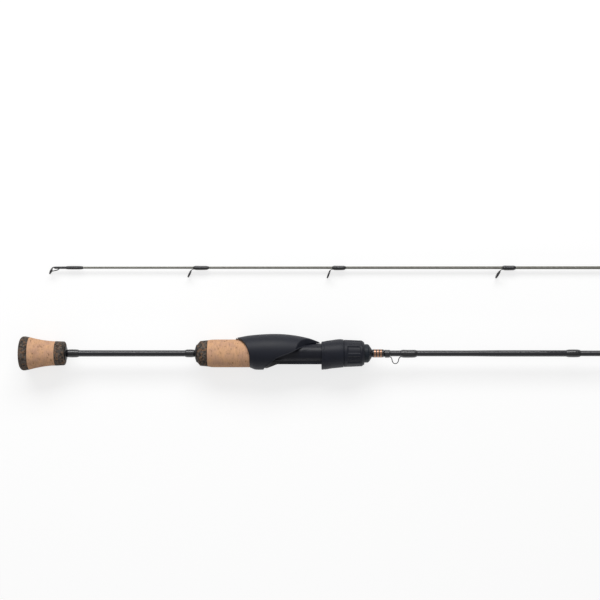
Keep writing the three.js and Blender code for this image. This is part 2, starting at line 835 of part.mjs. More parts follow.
// A guide's ring frame and its ceramic ring, about the axis of the ring, which leans towards the tip.
function guideRings(diameter, lean, centre) {
  const frameOuter = diameter / 2;
  const ceramicBore = frameOuter * 0.62;
  const ceramicOuter = frameOuter * 0.84;
  const half = 0.08 * diameter;
  const place = (solid) => solid.rotate([0, 0, lean]).translate(centre);
  const bead = arc(0, (ceramicBore + ceramicOuter) / 2, (ceramicOuter - ceramicBore) / 2, 0, 360, 6);
  return {
    holder: place(sleeve(
      [[-half, frameOuter], [half, frameOuter]],
      [[-half, ceramicOuter + glue], [half, ceramicOuter + glue]], 24)),
    ceramic: place(turned([...bead.slice(0, -1), bead[0]], 24)),
  };
}

// A single-foot guide: the foot lies under its wrap on the blank's lower side, and a short stem
// joins it to the ring, which hangs below and leans towards the tip.
function addGuide(group, name, taper, { station, diameter, lean, wrap, stem = 0.9 }) {
  const footThick = 0.07 * diameter;
  const footWidth = 0.22 * diameter;
  const foot = wrap * 0.85;
  const blankBelow = -(radiusAt(taper, station) + glue);
  const footBelow = blankBelow - footThick;
  const tilt = THREE.MathUtils.degToRad(lean);
  const ringTop = footBelow - stem;
  const down = diameter / 2 - footThick / 2;
  const centre = [station - down * Math.sin(tilt), ringTop - down * Math.cos(tilt), 0];
  const { holder, ceramic } = guideRings(diameter, -lean, centre);
  const side = new THREE.Shape([
    new THREE.Vector2(station + foot, blankBelow),
    new THREE.Vector2(station + foot, blankBelow - footThick / 2),
    new THREE.Vector2(station + foot * 0.5, footBelow),
    new THREE.Vector2(station + stem * 0.9 + footThick, footBelow),
    new THREE.Vector2(station + 0.1 * diameter * Math.cos(tilt), ringTop - footThick * 0.4),
    new THREE.Vector2(station - 0.1 * diameter * Math.cos(tilt), ringTop + footThick * 0.4),
    new THREE.Vector2(station + stem * 0.3, blankBelow),
  ]);
  addPiece(group, `${name}_frame`, "frame", sideProfile(side, footWidth / 2).add(holder));
  addPiece(group, `${name}_ring`, "ceramic", ceramic);

  const wrapRear = station + stem + 2 * footThick;
  const wrapFront = station + wrap;
  const build = footThick + 0.42;
  const outside = turned(
    [[wrapRear, 0], ...wrapOutside(taper, wrapRear, wrapFront, build), [wrapFront, 0]], slimSides);
  const hole = turned(
    [[wrapRear - 1, 0], ...along(taper, wrapRear - 1, wrapFront + 1, glue), [wrapFront + 1, 0]], slimSides);
  const footSpace = box(
    [wrapRear - 1, station + foot + glue],
    [footBelow - glue, 0],
    [-footWidth / 2 - glue, footWidth / 2 + glue],
  );
  addPiece(group, `${name}_wrap`, "thread",
    outside.translate([0, -footThick / 2, 0]).subtract(hole).subtract(footSpace));
}

// The tip-top: a tube over the blank's end, with a ring held by a leg above and two struts below.
function addTipTop(tip) {
  const tilt = THREE.MathUtils.degToRad(tipRingLean);
  const radius = tipRingDiameter / 2;
  const ringTopStation = 2.2;
  const centre = [ringTopStation - radius * Math.sin(tilt), -0.3 - radius * Math.cos(tilt), 0];
  const { holder, ceramic } = guideRings(tipRingDiameter, -tipRingLean, centre);
  const tube = rod(tipTubeFront, tipTubeRear, tipTubeRadius, slimSides)
    .subtract(rod(tipTubeFront + 1.2, tipTubeRear + 1, tipTenonRadius + glue, slimSides));
  const leg = wireAlong(new THREE.LineCurve3(
    new THREE.Vector3(tipTubeFront + 0.8, 0.4, 0),
    new THREE.Vector3(ringTopStation - 0.1, -0.45, 0),
  ), 0.42, 8, 1);
  const struts = [-1, 1].map((side) => wireAlong(new THREE.QuadraticBezierCurve3(
    new THREE.Vector3(tipTubeFront + 4.8, -tipTubeRadius * 0.7, side * 0.3),
    new THREE.Vector3(tipTubeFront + 2.4, -2.6, side * radius * 0.7),
    new THREE.Vector3(centre[0] + 0.1, centre[1] - 0.2, side * radius * 0.93),
  ), 0.3, 8, 6));
  addPiece(tip, "tip_top_frame", "frame", tube.add(leg).add(struts[0]).add(struts[1]).add(holder));
  addPiece(tip, "tip_top_ring", "ceramic", ceramic);

  const tubeEnd = [tipTubeRear - 1.6, tipTubeRear + glue];
  const wrapFront = tipTubeRear + 12;
  const overTube = [[tubeEnd[0], tipTubeRadius], [tubeEnd[1], tipTubeRadius]];
  const bore = [
    ...overTube.map(([x, r]) => [x, r + glue]),
    ...along(tipTaper, tubeEnd[1] + 0.1, wrapFront, glue),
  ];
  const outside = evenly(0, 1, 5).map((t) => {
    const x = THREE.MathUtils.lerp(tubeEnd[0], wrapFront, t);
    const floor = THREE.MathUtils.lerp(tipTubeRadius, radiusAt(tipTaper, wrapFront), t ** 2);
    return [x, floor + glue + wrapEdge + 0.16 * Math.max(0, Math.sin(Math.PI * t)) ** 0.4];
  });
  addPiece(tip, "tip_top_wrap", "thread", sleeve(outside, bore, slimSides));
}

// ---------------------------------------------------------------- assembly

function buildHandle() {
  const handle = new THREE.Group();
  addButt(handle);
  addGrip(handle);
  addBlanks(handle);
  addFrontCap(handle);
  addTrim(handle);
  addKeeper(handle);
  addGuide(handle, "stripper", frontTaper, {
    station: stripperStation, diameter: 11, lean: 12, wrap: 19, stem: 2.6,
  });

  const seat = new THREE.Group();
  seat.position.x = footCentre;
  addPiece(seat, "seat_barrel", "barrel", seatBarrel());
  addPiece(seat, "seat_shell", "seat", seatShell());
  addPiece(seat, "fixed_hood_liner", "liner", fixedHoodLiner());
  addPiece(seat, "sliding_hood", "seat", slidingHood());
  addPiece(seat, "sliding_hood_liner", "liner", slidingHoodLiner());
  addPiece(seat, "lock_nut", "seat", lockNut());
  addArbors(seat);
  handle.add(seat);

  handle.position.set(-footCentre, footFlatHeight, 0);
  return handle;
}

function buildTip() {
  const tip = new THREE.Group();
  addTipBlank(tip);
  addTipTop(tip);
  tipGuides.forEach((guide, i) => addGuide(tip, `guide_${i + 1}`, tipTaper, guide));
  tip.position.set(
    tipInset - footCentre, footFlatHeight + sectionSpacing, tipAxisHeight - buttRadius);
  return tip;
}

const iceRod = new THREE.Group();
iceRod.name = "ice_fishing_rod";
iceRod.add(buildHandle());
iceRod.add(buildTip());

export default iceRod;
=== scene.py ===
"""Ice fishing rod, taken down into its handle section and its tip section.

Metres throughout. +X runs from the butt to the front, +Y is the palm side and +Z is up.
"""

import math

import bpy
import numpy as np
from bpy.props import FloatProperty, FloatVectorProperty, IntProperty, PointerProperty
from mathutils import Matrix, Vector


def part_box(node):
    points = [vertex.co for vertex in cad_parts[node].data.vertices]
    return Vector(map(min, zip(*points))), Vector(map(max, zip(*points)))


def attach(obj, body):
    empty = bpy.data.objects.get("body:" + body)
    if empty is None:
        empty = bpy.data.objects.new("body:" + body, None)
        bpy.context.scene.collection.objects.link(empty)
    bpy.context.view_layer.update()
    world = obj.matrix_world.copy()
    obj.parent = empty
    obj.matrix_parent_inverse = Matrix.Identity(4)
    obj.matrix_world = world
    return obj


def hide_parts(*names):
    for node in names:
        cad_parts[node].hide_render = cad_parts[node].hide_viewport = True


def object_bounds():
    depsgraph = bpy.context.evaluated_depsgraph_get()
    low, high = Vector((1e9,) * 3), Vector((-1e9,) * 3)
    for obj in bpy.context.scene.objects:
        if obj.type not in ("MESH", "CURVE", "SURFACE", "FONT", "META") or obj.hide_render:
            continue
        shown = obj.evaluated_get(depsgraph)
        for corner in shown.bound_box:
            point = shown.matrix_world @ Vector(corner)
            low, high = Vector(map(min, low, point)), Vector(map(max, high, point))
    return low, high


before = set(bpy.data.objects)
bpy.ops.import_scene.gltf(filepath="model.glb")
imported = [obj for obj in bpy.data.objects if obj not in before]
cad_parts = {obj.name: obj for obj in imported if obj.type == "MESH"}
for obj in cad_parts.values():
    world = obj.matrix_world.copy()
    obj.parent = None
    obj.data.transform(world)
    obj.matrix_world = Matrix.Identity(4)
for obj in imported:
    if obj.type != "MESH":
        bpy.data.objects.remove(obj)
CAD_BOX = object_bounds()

bl_info = {
    "name": "Ice Fishing Rod",
    "version": (1, 0, 0),
    "blender": (4, 5, 0),
    "location": "View3D > Sidebar > Ice Rod",
    "description": "Builds the finished look of a two-section ice fishing rod round its frame",
    "category": "Object",
}

MM = 0.001
HANDLE = "handle_section"
TIP = "tip_section"
HOOD = "sliding_hood"
NUT = "lock_nut"


# ------------------------------------------------------------------ settings

def colour(name, description, default):
    return FloatVectorProperty(
        name=name, description=description, default=default, subtype="COLOR", min=0, max=1)


def length(name, description, millimetres):
    return FloatProperty(
        name=name, description=description, default=millimetres * MM, min=0, unit="LENGTH")


class RodFinishes(bpy.types.PropertyGroup):
    cork: colour("Cork", "Face of the natural cork", (0.86, 0.50, 0.28))
    cork_blush: colour("Cork blush", "Pinker patches in the natural cork", (0.70, 0.41, 0.27))
    cork_pit: colour("Cork pit", "Pores and pits in the natural cork", (0.22, 0.10, 0.045))
    crumb_dark: colour("Dark crumb", "Dark grains of the composite cork", (0.028, 0.023, 0.020))
    crumb_mid: colour("Middle crumb", "Grey grains of the composite cork", (0.14, 0.12, 0.105))
    crumb_light: colour("Light crumb", "Tan grains of the composite cork", (0.23, 0.135, 0.080))
    soft_touch: colour("Soft touch", "Moulded seat parts", (0.0075, 0.0095, 0.019))
    barrel: colour("Barrel", "Smooth barrel of the seat", (0.0065, 0.0075, 0.016))
    front_cap: colour("Front cap", "Rubber cone in front of the seat", (0.0065, 0.012, 0.021))
    blank: colour("Blank", "Handle blank", (0.007, 0.007, 0.012))
    tip_blank: colour("Tip blank", "Tip section's blank", (0.20, 0.195, 0.165))
    thread: colour("Thread", "Winding thread", (0.004, 0.004, 0.007))
    copper: colour("Copper thread", "Metallic trim bands", (0.50, 0.26, 0.15))
    wire: colour("Wire", "Hook keeper", (0.10, 0.105, 0.10))
    # Colour of a dark bead that paints the shade of the gap between the shell's back edge and the cork.
    rim: colour("Rim", "Painted shade of the gap round the back of the shell", (0.055, 0.033, 0.020))


class RodShapes(bpy.types.PropertyGroup):
    facets: IntProperty(name="Facets", description="Facets round a turned piece", default=96, min=24)
    edge: length("Edge", "Rounding of turned edges", 0.35)
    mould_voxel: length("Mould grain", "Grid on which the moulded shell is formed", 0.36)
    hood_voxel: length("Hood grain", "Grid on which the sliding hood is formed", 0.26)
    guide_voxel: length("Guide grain", "Grid on which the guide frames are formed", 0.11)
    pit_depth: length("Pit depth", "Depth of the deepest cork pits", 0.32)
    pits_per_cm2: FloatProperty(name="Pits", description="Cork pits per square cm", default=6, min=0)
    thread_pitch: length("Thread pitch", "Spacing of the winding thread", 0.2)
    nut_panels: IntProperty(name="Nut panels", description="Recessed grips round the lock nut",
                            default=8, min=3)
    screw_pitch: length("Screw pitch", "Pitch of the barrel's screw thread", 2.0)


class RodStudio(bpy.types.PropertyGroup):
    camera_height: length("Camera height", "Camera above the rod's axis", 1000)
    camera_x: length("Camera station", "Camera's place along the rod", 4)
    frame_width: length("Frame width", "Width of what the camera sees at the axis", 480)
    above_axis: length("Above axis", "Middle of the frame towards the palm side", 42.7)
    key_power: FloatProperty(name="Key", description="Softbox on the palm side", default=13.0, min=0)
    fill_power: FloatProperty(name="Fill", description="Panel over the camera", default=0.8, min=0)
    low_power: FloatProperty(name="Low fill", description="Strip on the guide side", default=1.2, min=0)
    ambient: FloatProperty(name="Ambient", description="Even light from all round", default=0.26, min=0)


# ------------------------------------------------------------------ reading the frame

def span(node):
    """First and last station of a CAD node along the rod."""
    low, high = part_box(node)
    return low.x, high.x


def centre_line(node):
    """Height across and height above, in Y and Z, of a straight CAD node's axis."""
    low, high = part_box(node)
    return (low.y + high.y) / 2, (low.z + high.z) / 2


HANDLE_AXIS = centre_line("handle_blank")
TIP_AXIS = centre_line("tip_blank")
FOOT_X = 0.0


def stations(node, axis):
    """A turned CAD node's stations, with the outer and inner radius at each."""
    co = np.array([v.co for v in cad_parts[node].data.vertices])
    radius = np.hypot(co[:, 1] - axis[0], co[:, 2] - axis[1])
    keys = np.round(co[:, 0], 6)
    xs = np.unique(keys)
    outer = np.array([radius[keys == x].max() for x in xs])
    inner = np.array([radius[keys == x].min() for x in xs])
    return xs, outer, inner


def radius_at(node, axis, x):
    xs, outer, _ = stations(node, axis)
    return float(np.interp(x, xs, outer))


# ------------------------------------------------------------------ curves and outlines

def hermite(points, x):
    """A smooth curve through [station, value] points, read at the stations x."""
    px, py = np.array(points, float).T
    slope = np.gradient(py, px) if len(px) > 2 else np.full(2, (py[1] - py[0]) / (px[1] - px[0]))
    if len(px) > 2:
        slope[1:-1] = (py[2:] - py[:-2]) / (px[2:] - px[:-2])
    x = np.clip(x, px[0], px[-1])
    i = np.clip(np.searchsorted(px, x, side="right") - 1, 0, len(px) - 2)
    step = px[i + 1] - px[i]
    t = (x - px[i]) / step
    return ((2 * t**3 - 3 * t**2 + 1) * py[i] + (t**3 - 2 * t**2 + t) * step * slope[i]
            + (3 * t**2 - 2 * t**3) * py[i + 1] + (t**3 - t**2) * step * slope[i + 1])


def eased(outline, size, closed=True, turn=20):
    """The outline with each corner sharper than turn degrees rounded by up to its size."""
    points = [np.array(p, float) for p in outline]
    count = len(points)
    sizes = np.broadcast_to(size, (count,))
    result = []
    for i, p in enumerate(points):
        if not closed and i in (0, count - 1):
            result.append(p)
            continue
        before, after = points[i - 1], points[(i + 1) % count]
        back, ahead = before - p, after - p
        reach_back, reach_ahead = np.linalg.norm(back), np.linalg.norm(ahead)
        if min(reach_back, reach_ahead) < 1e-7:
            continue
        cosine = np.dot(back, ahead) / (reach_back * reach_ahead)
        if 180 - math.degrees(math.acos(max(-1, min(1, cosine)))) < turn:
            result.append(p)
            continue
        cut = min(sizes[i], 0.45 * reach_back, 0.45 * reach_ahead)
        start, end = p + back / reach_back * cut, p + ahead / reach_ahead * cut
        for t in np.linspace(0, 1, 5):
            result.append((1 - t) ** 2 * start + 2 * t * (1 - t) * p + t**2 * end)
    return np.array(result)


def divided(outline, step, closed=True):
    """The outline with its long straight stretches cut into steps."""
    result = []
    count = len(outline)
    for i in range(count if closed else count - 1):
        a, b = outline[i], outline[(i + 1) % count]
        pieces = max(1, int(math.ceil(np.linalg.norm(b - a) / step)))
        for k in range(pieces):
            result.append(a + (b - a) * k / pieces)
    if not closed:
        result.append(outline[-1])
    return np.array(result)


# ------------------------------------------------------------------ meshes

def new_piece(name, vertices, faces, sharp=42):
    mesh = bpy.data.meshes.new(name)
    mesh.from_pydata([tuple(v) for v in vertices], [], faces)
    mesh.validate()
    mesh.update()
    piece = bpy.data.objects.new(name, mesh)
    bpy.context.scene.collection.objects.link(piece)
    shade(piece, sharp)
    return piece


def shade(piece, sharp=42):
    piece.data.shade_smooth()
    piece.data.set_sharp_from_angle(angle=math.radians(sharp))


def grid_faces(rings, around, closed):
    """Quads between rings of points; closed joins the last ring to the first."""
    faces = []
    for ring in range(rings if closed else rings - 1):
        low, high = ring * around, ((ring + 1) % rings) * around
        for i in range(around):
            j = (i + 1) % around
            faces.append((low + i, high + i, high + j, low + j))
    return faces


def around_axis(loop, axis, facets, closed, reshape=None):
    """Vertices and faces of an outline of [station, radius] points turned about the rod's axis.

    An open outline starts and ends on the axis. reshape(x, r, angle) may change the radii.
    """
    angles = np.linspace(0, 2 * math.pi, facets, endpoint=False)
    loop = np.asarray(loop)
    body = loop if closed else loop[1:-1]
    x = np.repeat(body[:, :1], facets, axis=1)
    r = np.repeat(body[:, 1:], facets, axis=1)
    angle = np.repeat(angles[None, :], len(body), axis=0)
    if reshape:
        x, r = reshape(x, r, angle)
    y = axis[0] - r * np.sin(angle)
    z = axis[1] + r * np.cos(angle)
    vertices = np.stack([x, y, z], axis=-1).reshape(-1, 3)
    faces = grid_faces(len(body), facets, closed)
    if closed:
        return vertices, faces
    first, last = len(vertices), len(vertices) + 1
    ends = [[loop[0][0], axis[0], axis[1]], [loop[-1][0], axis[0], axis[1]]]
    top = (len(body) - 1) * facets
    for i in range(facets):
        j = (i + 1) % facets
        faces.append((i, j, first))
        faces.append((top + j, top + i, last))
    return np.vstack([vertices, ends]), faces


def outward(piece):
    """Turns the faces of a closed piece outwards."""
    mesh = piece.data
    count = len(mesh.polygons)
    mesh.calc_loop_triangles()
    co = np.zeros(len(mesh.vertices) * 3)
    mesh.vertices.foreach_get("co", co)
    tri = np.zeros(len(mesh.loop_triangles) * 3, int)
    mesh.loop_triangles.foreach_get("vertices", tri)
    a, b, c = (co.reshape(-1, 3)[tri.reshape(-1, 3)[:, k]] for k in range(3))
    if count and np.einsum("ij,ij->i", a, np.cross(b, c)).sum() < 0:
        mesh.flip_normals()
    return piece


def turned(name, loop, axis, closed=True, facets=None, reshape=None):
    facets = facets or bpy.context.scene.rod_shapes.facets
    return outward(new_piece(name, *around_axis(loop, axis, facets, closed, reshape)))


def wire(name, path, radius, sides=16, closed=False, squash=1.0):
    """A round wire, or a flattened one, along a path, with closed ends."""
    path = np.array(path, float)
    if closed:
        tangent = np.roll(path, -1, axis=0) - np.roll(path, 1, axis=0)
    else:
        tangent = np.gradient(path, axis=0)
    tangent /= np.linalg.norm(tangent, axis=1)[:, None]
    up = np.array([0.0, 0.0, 1.0])
    if abs(tangent[0] @ up) > 0.9:
        up = np.array([0.0, 1.0, 0.0])
    rings = []
    radii = np.broadcast_to(radius, (len(path),))
    for p, t, r in zip(path, tangent, radii):
        up = up - t * (up @ t)
        up /= np.linalg.norm(up)
        side = np.cross(t, up)
        for k in range(sides):
            angle = 2 * math.pi * k / sides
            rings.append(p + r * (math.cos(angle) * side * squash + math.sin(angle) * up))
    faces = grid_faces(len(path), sides, closed)
    if not closed:
        faces.append(tuple(range(sides)))
        faces.append(tuple(reversed(range((len(path) - 1) * sides, len(path) * sides))))
    return outward(new_piece(name, rings, faces, sharp=60))


def prism(name, outline, axes, reach):
    """A flat outline given in two axes, such as (0, 1), pushed both ways along the third."""
    third = 3 - sum(axes)
    vertices = []
    for side in reach:
        for p in outline:
            v = [0.0, 0.0, 0.0]
            v[axes[0]], v[axes[1]], v[third] = p[0], p[1], side
            vertices.append(v)
    n = len(outline)
    faces = [tuple(reversed(range(n))), tuple(range(n, 2 * n))]
    faces += [(i, (i + 1) % n, n + (i + 1) % n, n + i) for i in range(n)]
    return outward(new_piece(name, vertices, faces))


def formed(piece, cutters=(), joined=(), voxel=None, smoothing=4):
    """Joins and cuts the piece, then forms it on a voxel grid, which rounds its edges."""
    for others, operation in ((joined, "UNION"), (cutters, "DIFFERENCE")):
        for other in others:
            step = piece.modifiers.new("form", "BOOLEAN")
            step.operation = operation
            step.solver = "EXACT"
            step.object = other
    if voxel:
        grid = piece.modifiers.new("grid", "REMESH")
        grid.mode = "VOXEL"
        grid.voxel_size = voxel
        relax = piece.modifiers.new("relax", "SMOOTH")
        relax.factor = 0.5
        relax.iterations = smoothing
    bpy.context.view_layer.update()
    graph = bpy.context.evaluated_depsgraph_get()
    mesh = bpy.data.meshes.new_from_object(piece.evaluated_get(graph))
    piece.modifiers.clear()
    piece.data = mesh
    for other in (*cutters, *joined):
        bpy.data.objects.remove(other)
    shade(piece, 60)
    return piece


def finish_piece(piece, material, slot, body, *nodes):
    """Gives a piece its material, the body it rides on and the CAD nodes it stands for; the slot is not
    used.
    """
    piece.data.materials.clear()
    piece.data.materials.append(material)
    if nodes:
        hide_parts(*nodes)
    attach(piece, body)
    return piece


# ------------------------------------------------------------------ materials

def shader(name, base, roughness=0.5, metallic=0.0, specular=0.5, coat=0.0, coat_roughness=0.05):
    """A material whose even values sit on the shader's own sockets. Returns it with its parts."""
    known = bpy.data.materials.get(name)
    if known:
        return known, None, None
    material = bpy.data.materials.new(name)
    material.use_nodes = True
    nodes, links = material.node_tree.nodes, material.node_tree.links
    surface = nodes["Principled BSDF"]
    surface.inputs["Base Color"].default_value = (*base, 1)
    surface.inputs["Roughness"].default_value = roughness
    surface.inputs["Metallic"].default_value = metallic
    surface.inputs["Specular IOR Level"].default_value = specular
    surface.inputs["Coat Weight"].default_value = coat
    surface.inputs["Coat Roughness"].default_value = coat_roughness
    return material, nodes, links


def place(nodes, links, stretch=(1, 1, 1)):
    """Coordinates in the rod's own frame, in millimetres, stretched per axis."""
    where = nodes.new("ShaderNodeTexCoord")
    scale = nodes.new("ShaderNodeMapping")
    scale.inputs["Scale"].default_value = [s / MM for s in stretch]
    links.new(where.outputs["Object"], scale.inputs["Vector"])
    return scale.outputs["Vector"]


def noise(nodes, links, vector, scale, detail=3.0, rough=0.5):
    texture = nodes.new("ShaderNodeTexNoise")
    texture.inputs["Scale"].default_value = scale
    texture.inputs["Detail"].default_value = detail
    texture.inputs["Roughness"].default_value = rough
    links.new(vector, texture.inputs["Vector"])
    return texture.outputs["Fac"]


def ramp(nodes, links, value, *stops):
    """A colour ramp; each stop is (place, colour)."""
    node = nodes.new("ShaderNodeValToRGB")
    elements = node.color_ramp.elements
    elements.remove(elements[1])
    elements[0].position = stops[0][0]
    elements[0].color = (*stops[0][1], 1)
    for position, tint in stops[1:]:
        elements.new(position).color = (*tint, 1)
    links.new(value, node.inputs["Fac"])
    return node.outputs["Color"]


def blend_colour(nodes, links, amount, low, high, mode="MIX"):
    node = nodes.new("ShaderNodeMix")
    node.data_type = "RGBA"
    node.blend_type = mode
    for socket, value in ((0, amount), (6, low), (7, high)):
        if isinstance(value, (int, float)):
            node.inputs[socket].default_value = value
        elif isinstance(value, tuple):
            node.inputs[socket].default_value = (*value, 1)
        else:
            links.new(value, node.inputs[socket])
    return node.outputs[2]


def bump(nodes, links, height, strength, distance, into="Normal"):
    node = nodes.new("ShaderNodeBump")
    node.inputs["Strength"].default_value = strength
    node.inputs["Distance"].default_value = distance
    links.new(height, node.inputs["Height"])
    links.new(node.outputs["Normal"], nodes["Principled BSDF"].inputs[into])


def spread(nodes, links, value, low, high, name):
    """Sends a 0 to 1 value to a shader socket, mapped between two limits."""
    node = nodes.new("ShaderNodeMapRange")
    node.inputs["To Min"].default_value = low
    node.inputs["To Max"].default_value = high
    links.new(value, node.inputs["Value"])
    links.new(node.outputs["Result"], nodes["Principled BSDF"].inputs[name])


def cork_material():
    tints = bpy.context.scene.rod_finishes
    material, nodes, links = shader("natural_cork", tints.cork, roughness=0.72, specular=0.35)
    if nodes is None:
        return material
    flat = place(nodes, links)
    cloudy = noise(nodes, links, flat, 0.16, 4, 0.6)
    base = ramp(nodes, links, cloudy, (0.36, tuple(tints.cork_blush)), (0.62, tuple(tints.cork)))
    grain = noise(nodes, links, place(nodes, links, (1.6, 0.35, 0.35)), 0.9, 5, 0.65)
    streaks = ramp(nodes, links, grain, (0.30, (0.74, 0.68, 0.64)), (0.50, (1.0, 1.0, 1.0)),
                   (0.75, (1.12, 1.08, 1.02)))
    base = blend_colour(nodes, links, 0.8, base, streaks, "MULTIPLY")
    speck = noise(nodes, links, place(nodes, links, (0.75, 1.1, 1.1)), 0.85, 2, 0.5)
    pores = ramp(nodes, links, speck, (0.22, (0.8, 0.8, 0.8)), (0.31, (0, 0, 0)))
    base = blend_colour(nodes, links, pores, base, tuple(tints.cork_pit))
    # The cork darkens with each pit's depth: partly the pores' own dark filling, partly painted shade
    # inside the pits.
    depth = nodes.new("ShaderNodeAttribute")
    depth.attribute_name = "pit"
    base = blend_colour(nodes, links, depth.outputs["Fac"], base, tuple(tints.cork_pit))
    links.new(base, nodes["Principled BSDF"].inputs["Base Color"])
    bump(nodes, links, grain, 0.35, 0.12 * MM)
    return material


def composite_material():
    tints = bpy.context.scene.rod_finishes
    material, nodes, links = shader("composite_crumb", tints.crumb_mid, roughness=0.78, specular=0.3)
    if nodes is None:
        return material
    flat = place(nodes, links)
    crumbs = nodes.new("ShaderNodeTexVoronoi")
    crumbs.inputs["Scale"].default_value = 0.75
    crumbs.inputs["Randomness"].default_value = 1.0
    warp = noise(nodes, links, flat, 0.8, 2)
    shifted = nodes.new("ShaderNodeVectorMath")
    shifted.operation = "ADD"
    links.new(flat, shifted.inputs[0])
    links.new(warp, shifted.inputs[1])
    links.new(shifted.outputs["Vector"], crumbs.inputs["Vector"])
    split = nodes.new("ShaderNodeSeparateColor")
    links.new(crumbs.outputs["Color"], split.inputs["Color"])
    tone = ramp(nodes, links, split.outputs["Red"],
                (0.0, tuple(tints.crumb_dark)), (0.34, tuple(tints.crumb_mid)),
                (0.62, tuple(tints.crumb_dark)), (0.80, tuple(tints.crumb_light)),
                (1.0, tuple(tints.crumb_mid)))
    fine = noise(nodes, links, flat, 1.8, 4, 0.7)
    shade_tone = ramp(nodes, links, fine, (0.30, (0.45, 0.43, 0.42)), (0.70, (1.6, 1.55, 1.5)))
    tone = blend_colour(nodes, links, 0.85, tone, shade_tone, "MULTIPLY")
    links.new(tone, nodes["Principled BSDF"].inputs["Base Color"])
    bump(nodes, links, fine, 0.5, 0.15 * MM)
    return material


def moulded_material(name, base, roughness=0.5, grain=0.3):
    material, nodes, links = shader(name, base, roughness=roughness, specular=0.4)
    if nodes is None:
        return material
    flat = place(nodes, links)
    mottle = noise(nodes, links, flat, 0.09, 3)
    tone = ramp(nodes, links, mottle, (0.3, tuple(c * 0.86 for c in base)),
                (0.7, tuple(min(1, c * 1.14) for c in base)))
    links.new(tone, nodes["Principled BSDF"].inputs["Base Color"])
    spread(nodes, links, mottle, roughness - 0.05, roughness + 0.07, "Roughness")
    bump(nodes, links, noise(nodes, links, flat, 6.0, 2), grain, 0.03 * MM)
    return material


def thread_material(name, base, metallic=0.0, roughness=0.35):
    """Close turns of thread under a clear, smooth epoxy coat."""
    shapes = bpy.context.scene.rod_shapes
    material, nodes, links = shader(
        name, base, roughness=roughness, metallic=metallic, coat=1.0, coat_roughness=0.04)
    if nodes is None:
        return material
    turns = nodes.new("ShaderNodeTexWave")
    turns.wave_type = "BANDS"
    turns.bands_direction = "X"
    turns.inputs["Scale"].default_value = 0.314 / (shapes.thread_pitch / MM)
    turns.inputs["Distortion"].default_value = 0.15
    links.new(place(nodes, links), turns.inputs["Vector"])
    # Painted shade: each turn's colour darkens towards the groove beside the next turn.
    tone = ramp(nodes, links, turns.outputs["Fac"], (0.0, tuple(c * 0.45 for c in base)),
                (0.6, tuple(min(1, c * 1.1) for c in base)))
    links.new(tone, nodes["Principled BSDF"].inputs["Base Color"])
    bump(nodes, links, turns.outputs["Fac"], 0.4, 0.05 * MM)
    ripple = noise(nodes, links, place(nodes, links, (0.5, 1, 1)), 0.35, 1)
    bump(nodes, links, ripple, 0.25, 0.12 * MM, "Coat Normal")
    return material


def blank_material(name, base, roughness, coat):
    """Carbon under clear: a faint spiral of the tape's turns shows in the gloss."""
    material, nodes, links = shader(
        name, base, roughness=roughness, coat=coat, coat_roughness=0.08)
    if nodes is None:
        return material
    turns = nodes.new("ShaderNodeTexWave")
    turns.bands_direction = "DIAGONAL"
    turns.inputs["Scale"].default_value = 0.12
    turns.inputs["Distortion"].default_value = 2.5
    turns.inputs["Detail"].default_value = 2
    links.new(place(nodes, links), turns.inputs["Vector"])
    tone = ramp(nodes, links, turns.outputs["Fac"], (0.2, tuple(c * 0.93 for c in base)),
                (0.9, tuple(min(1, c * 1.08) for c in base)))
    links.new(tone, nodes["Principled BSDF"].inputs["Base Color"])
    fleck = noise(nodes, links, place(nodes, links, (0.25, 1, 1)), 1.1, 4)
    spread(nodes, links, fleck, roughness - 0.04, roughness + 0.05, "Roughness")
    bump(nodes, links, turns.outputs["Fac"], 0.03, 0.02 * MM)
    return material


def metal_material(name, base, roughness, metallic=1.0, coat=0.0):
    material, nodes, links = shader(name, base, roughness=roughness, metallic=metallic, coat=coat)
    if nodes is None:
        return material
    scuff = noise(nodes, links, place(nodes, links), 1.6, 4, 0.6)
    spread(nodes, links, scuff, roughness * 0.7, roughness * 1.4, "Roughness")
    tone = ramp(nodes, links, scuff, (0.3, tuple(c * 0.8 for c in base)), (0.7, tuple(base)))
    links.new(tone, nodes["Principled BSDF"].inputs["Base Color"])
    return material


def ceramic_material():
    return metal_material("polished_ceramic", (0.012, 0.012, 0.014), 0.12, metallic=0.0, coat=0.6)


def frame_material():
    return metal_material("guide_frame_black", (0.020, 0.020, 0.023), 0.28, metallic=0.35, coat=0.5)


# ------------------------------------------------------------------ pieces that are turned

def sleeve_loop(node, axis, edge, smooth=False, gap=0.02 * MM, bore=None):
    """The closed outline of a tube-shaped CAD node, with its edges eased."""
    xs, outer, inner = stations(node, axis)
    if smooth:
        fine = np.linspace(xs[0], xs[-1], 28)
        outside = np.column_stack([fine, hermite(list(zip(xs, outer)), fine)])
    else:
        outside = np.column_stack([xs, outer])
    hole = inner.min() if bore is None else bore
    loop = [*outside, (xs[-1], hole + gap), (xs[0], hole + gap)]
    return eased(loop, edge)


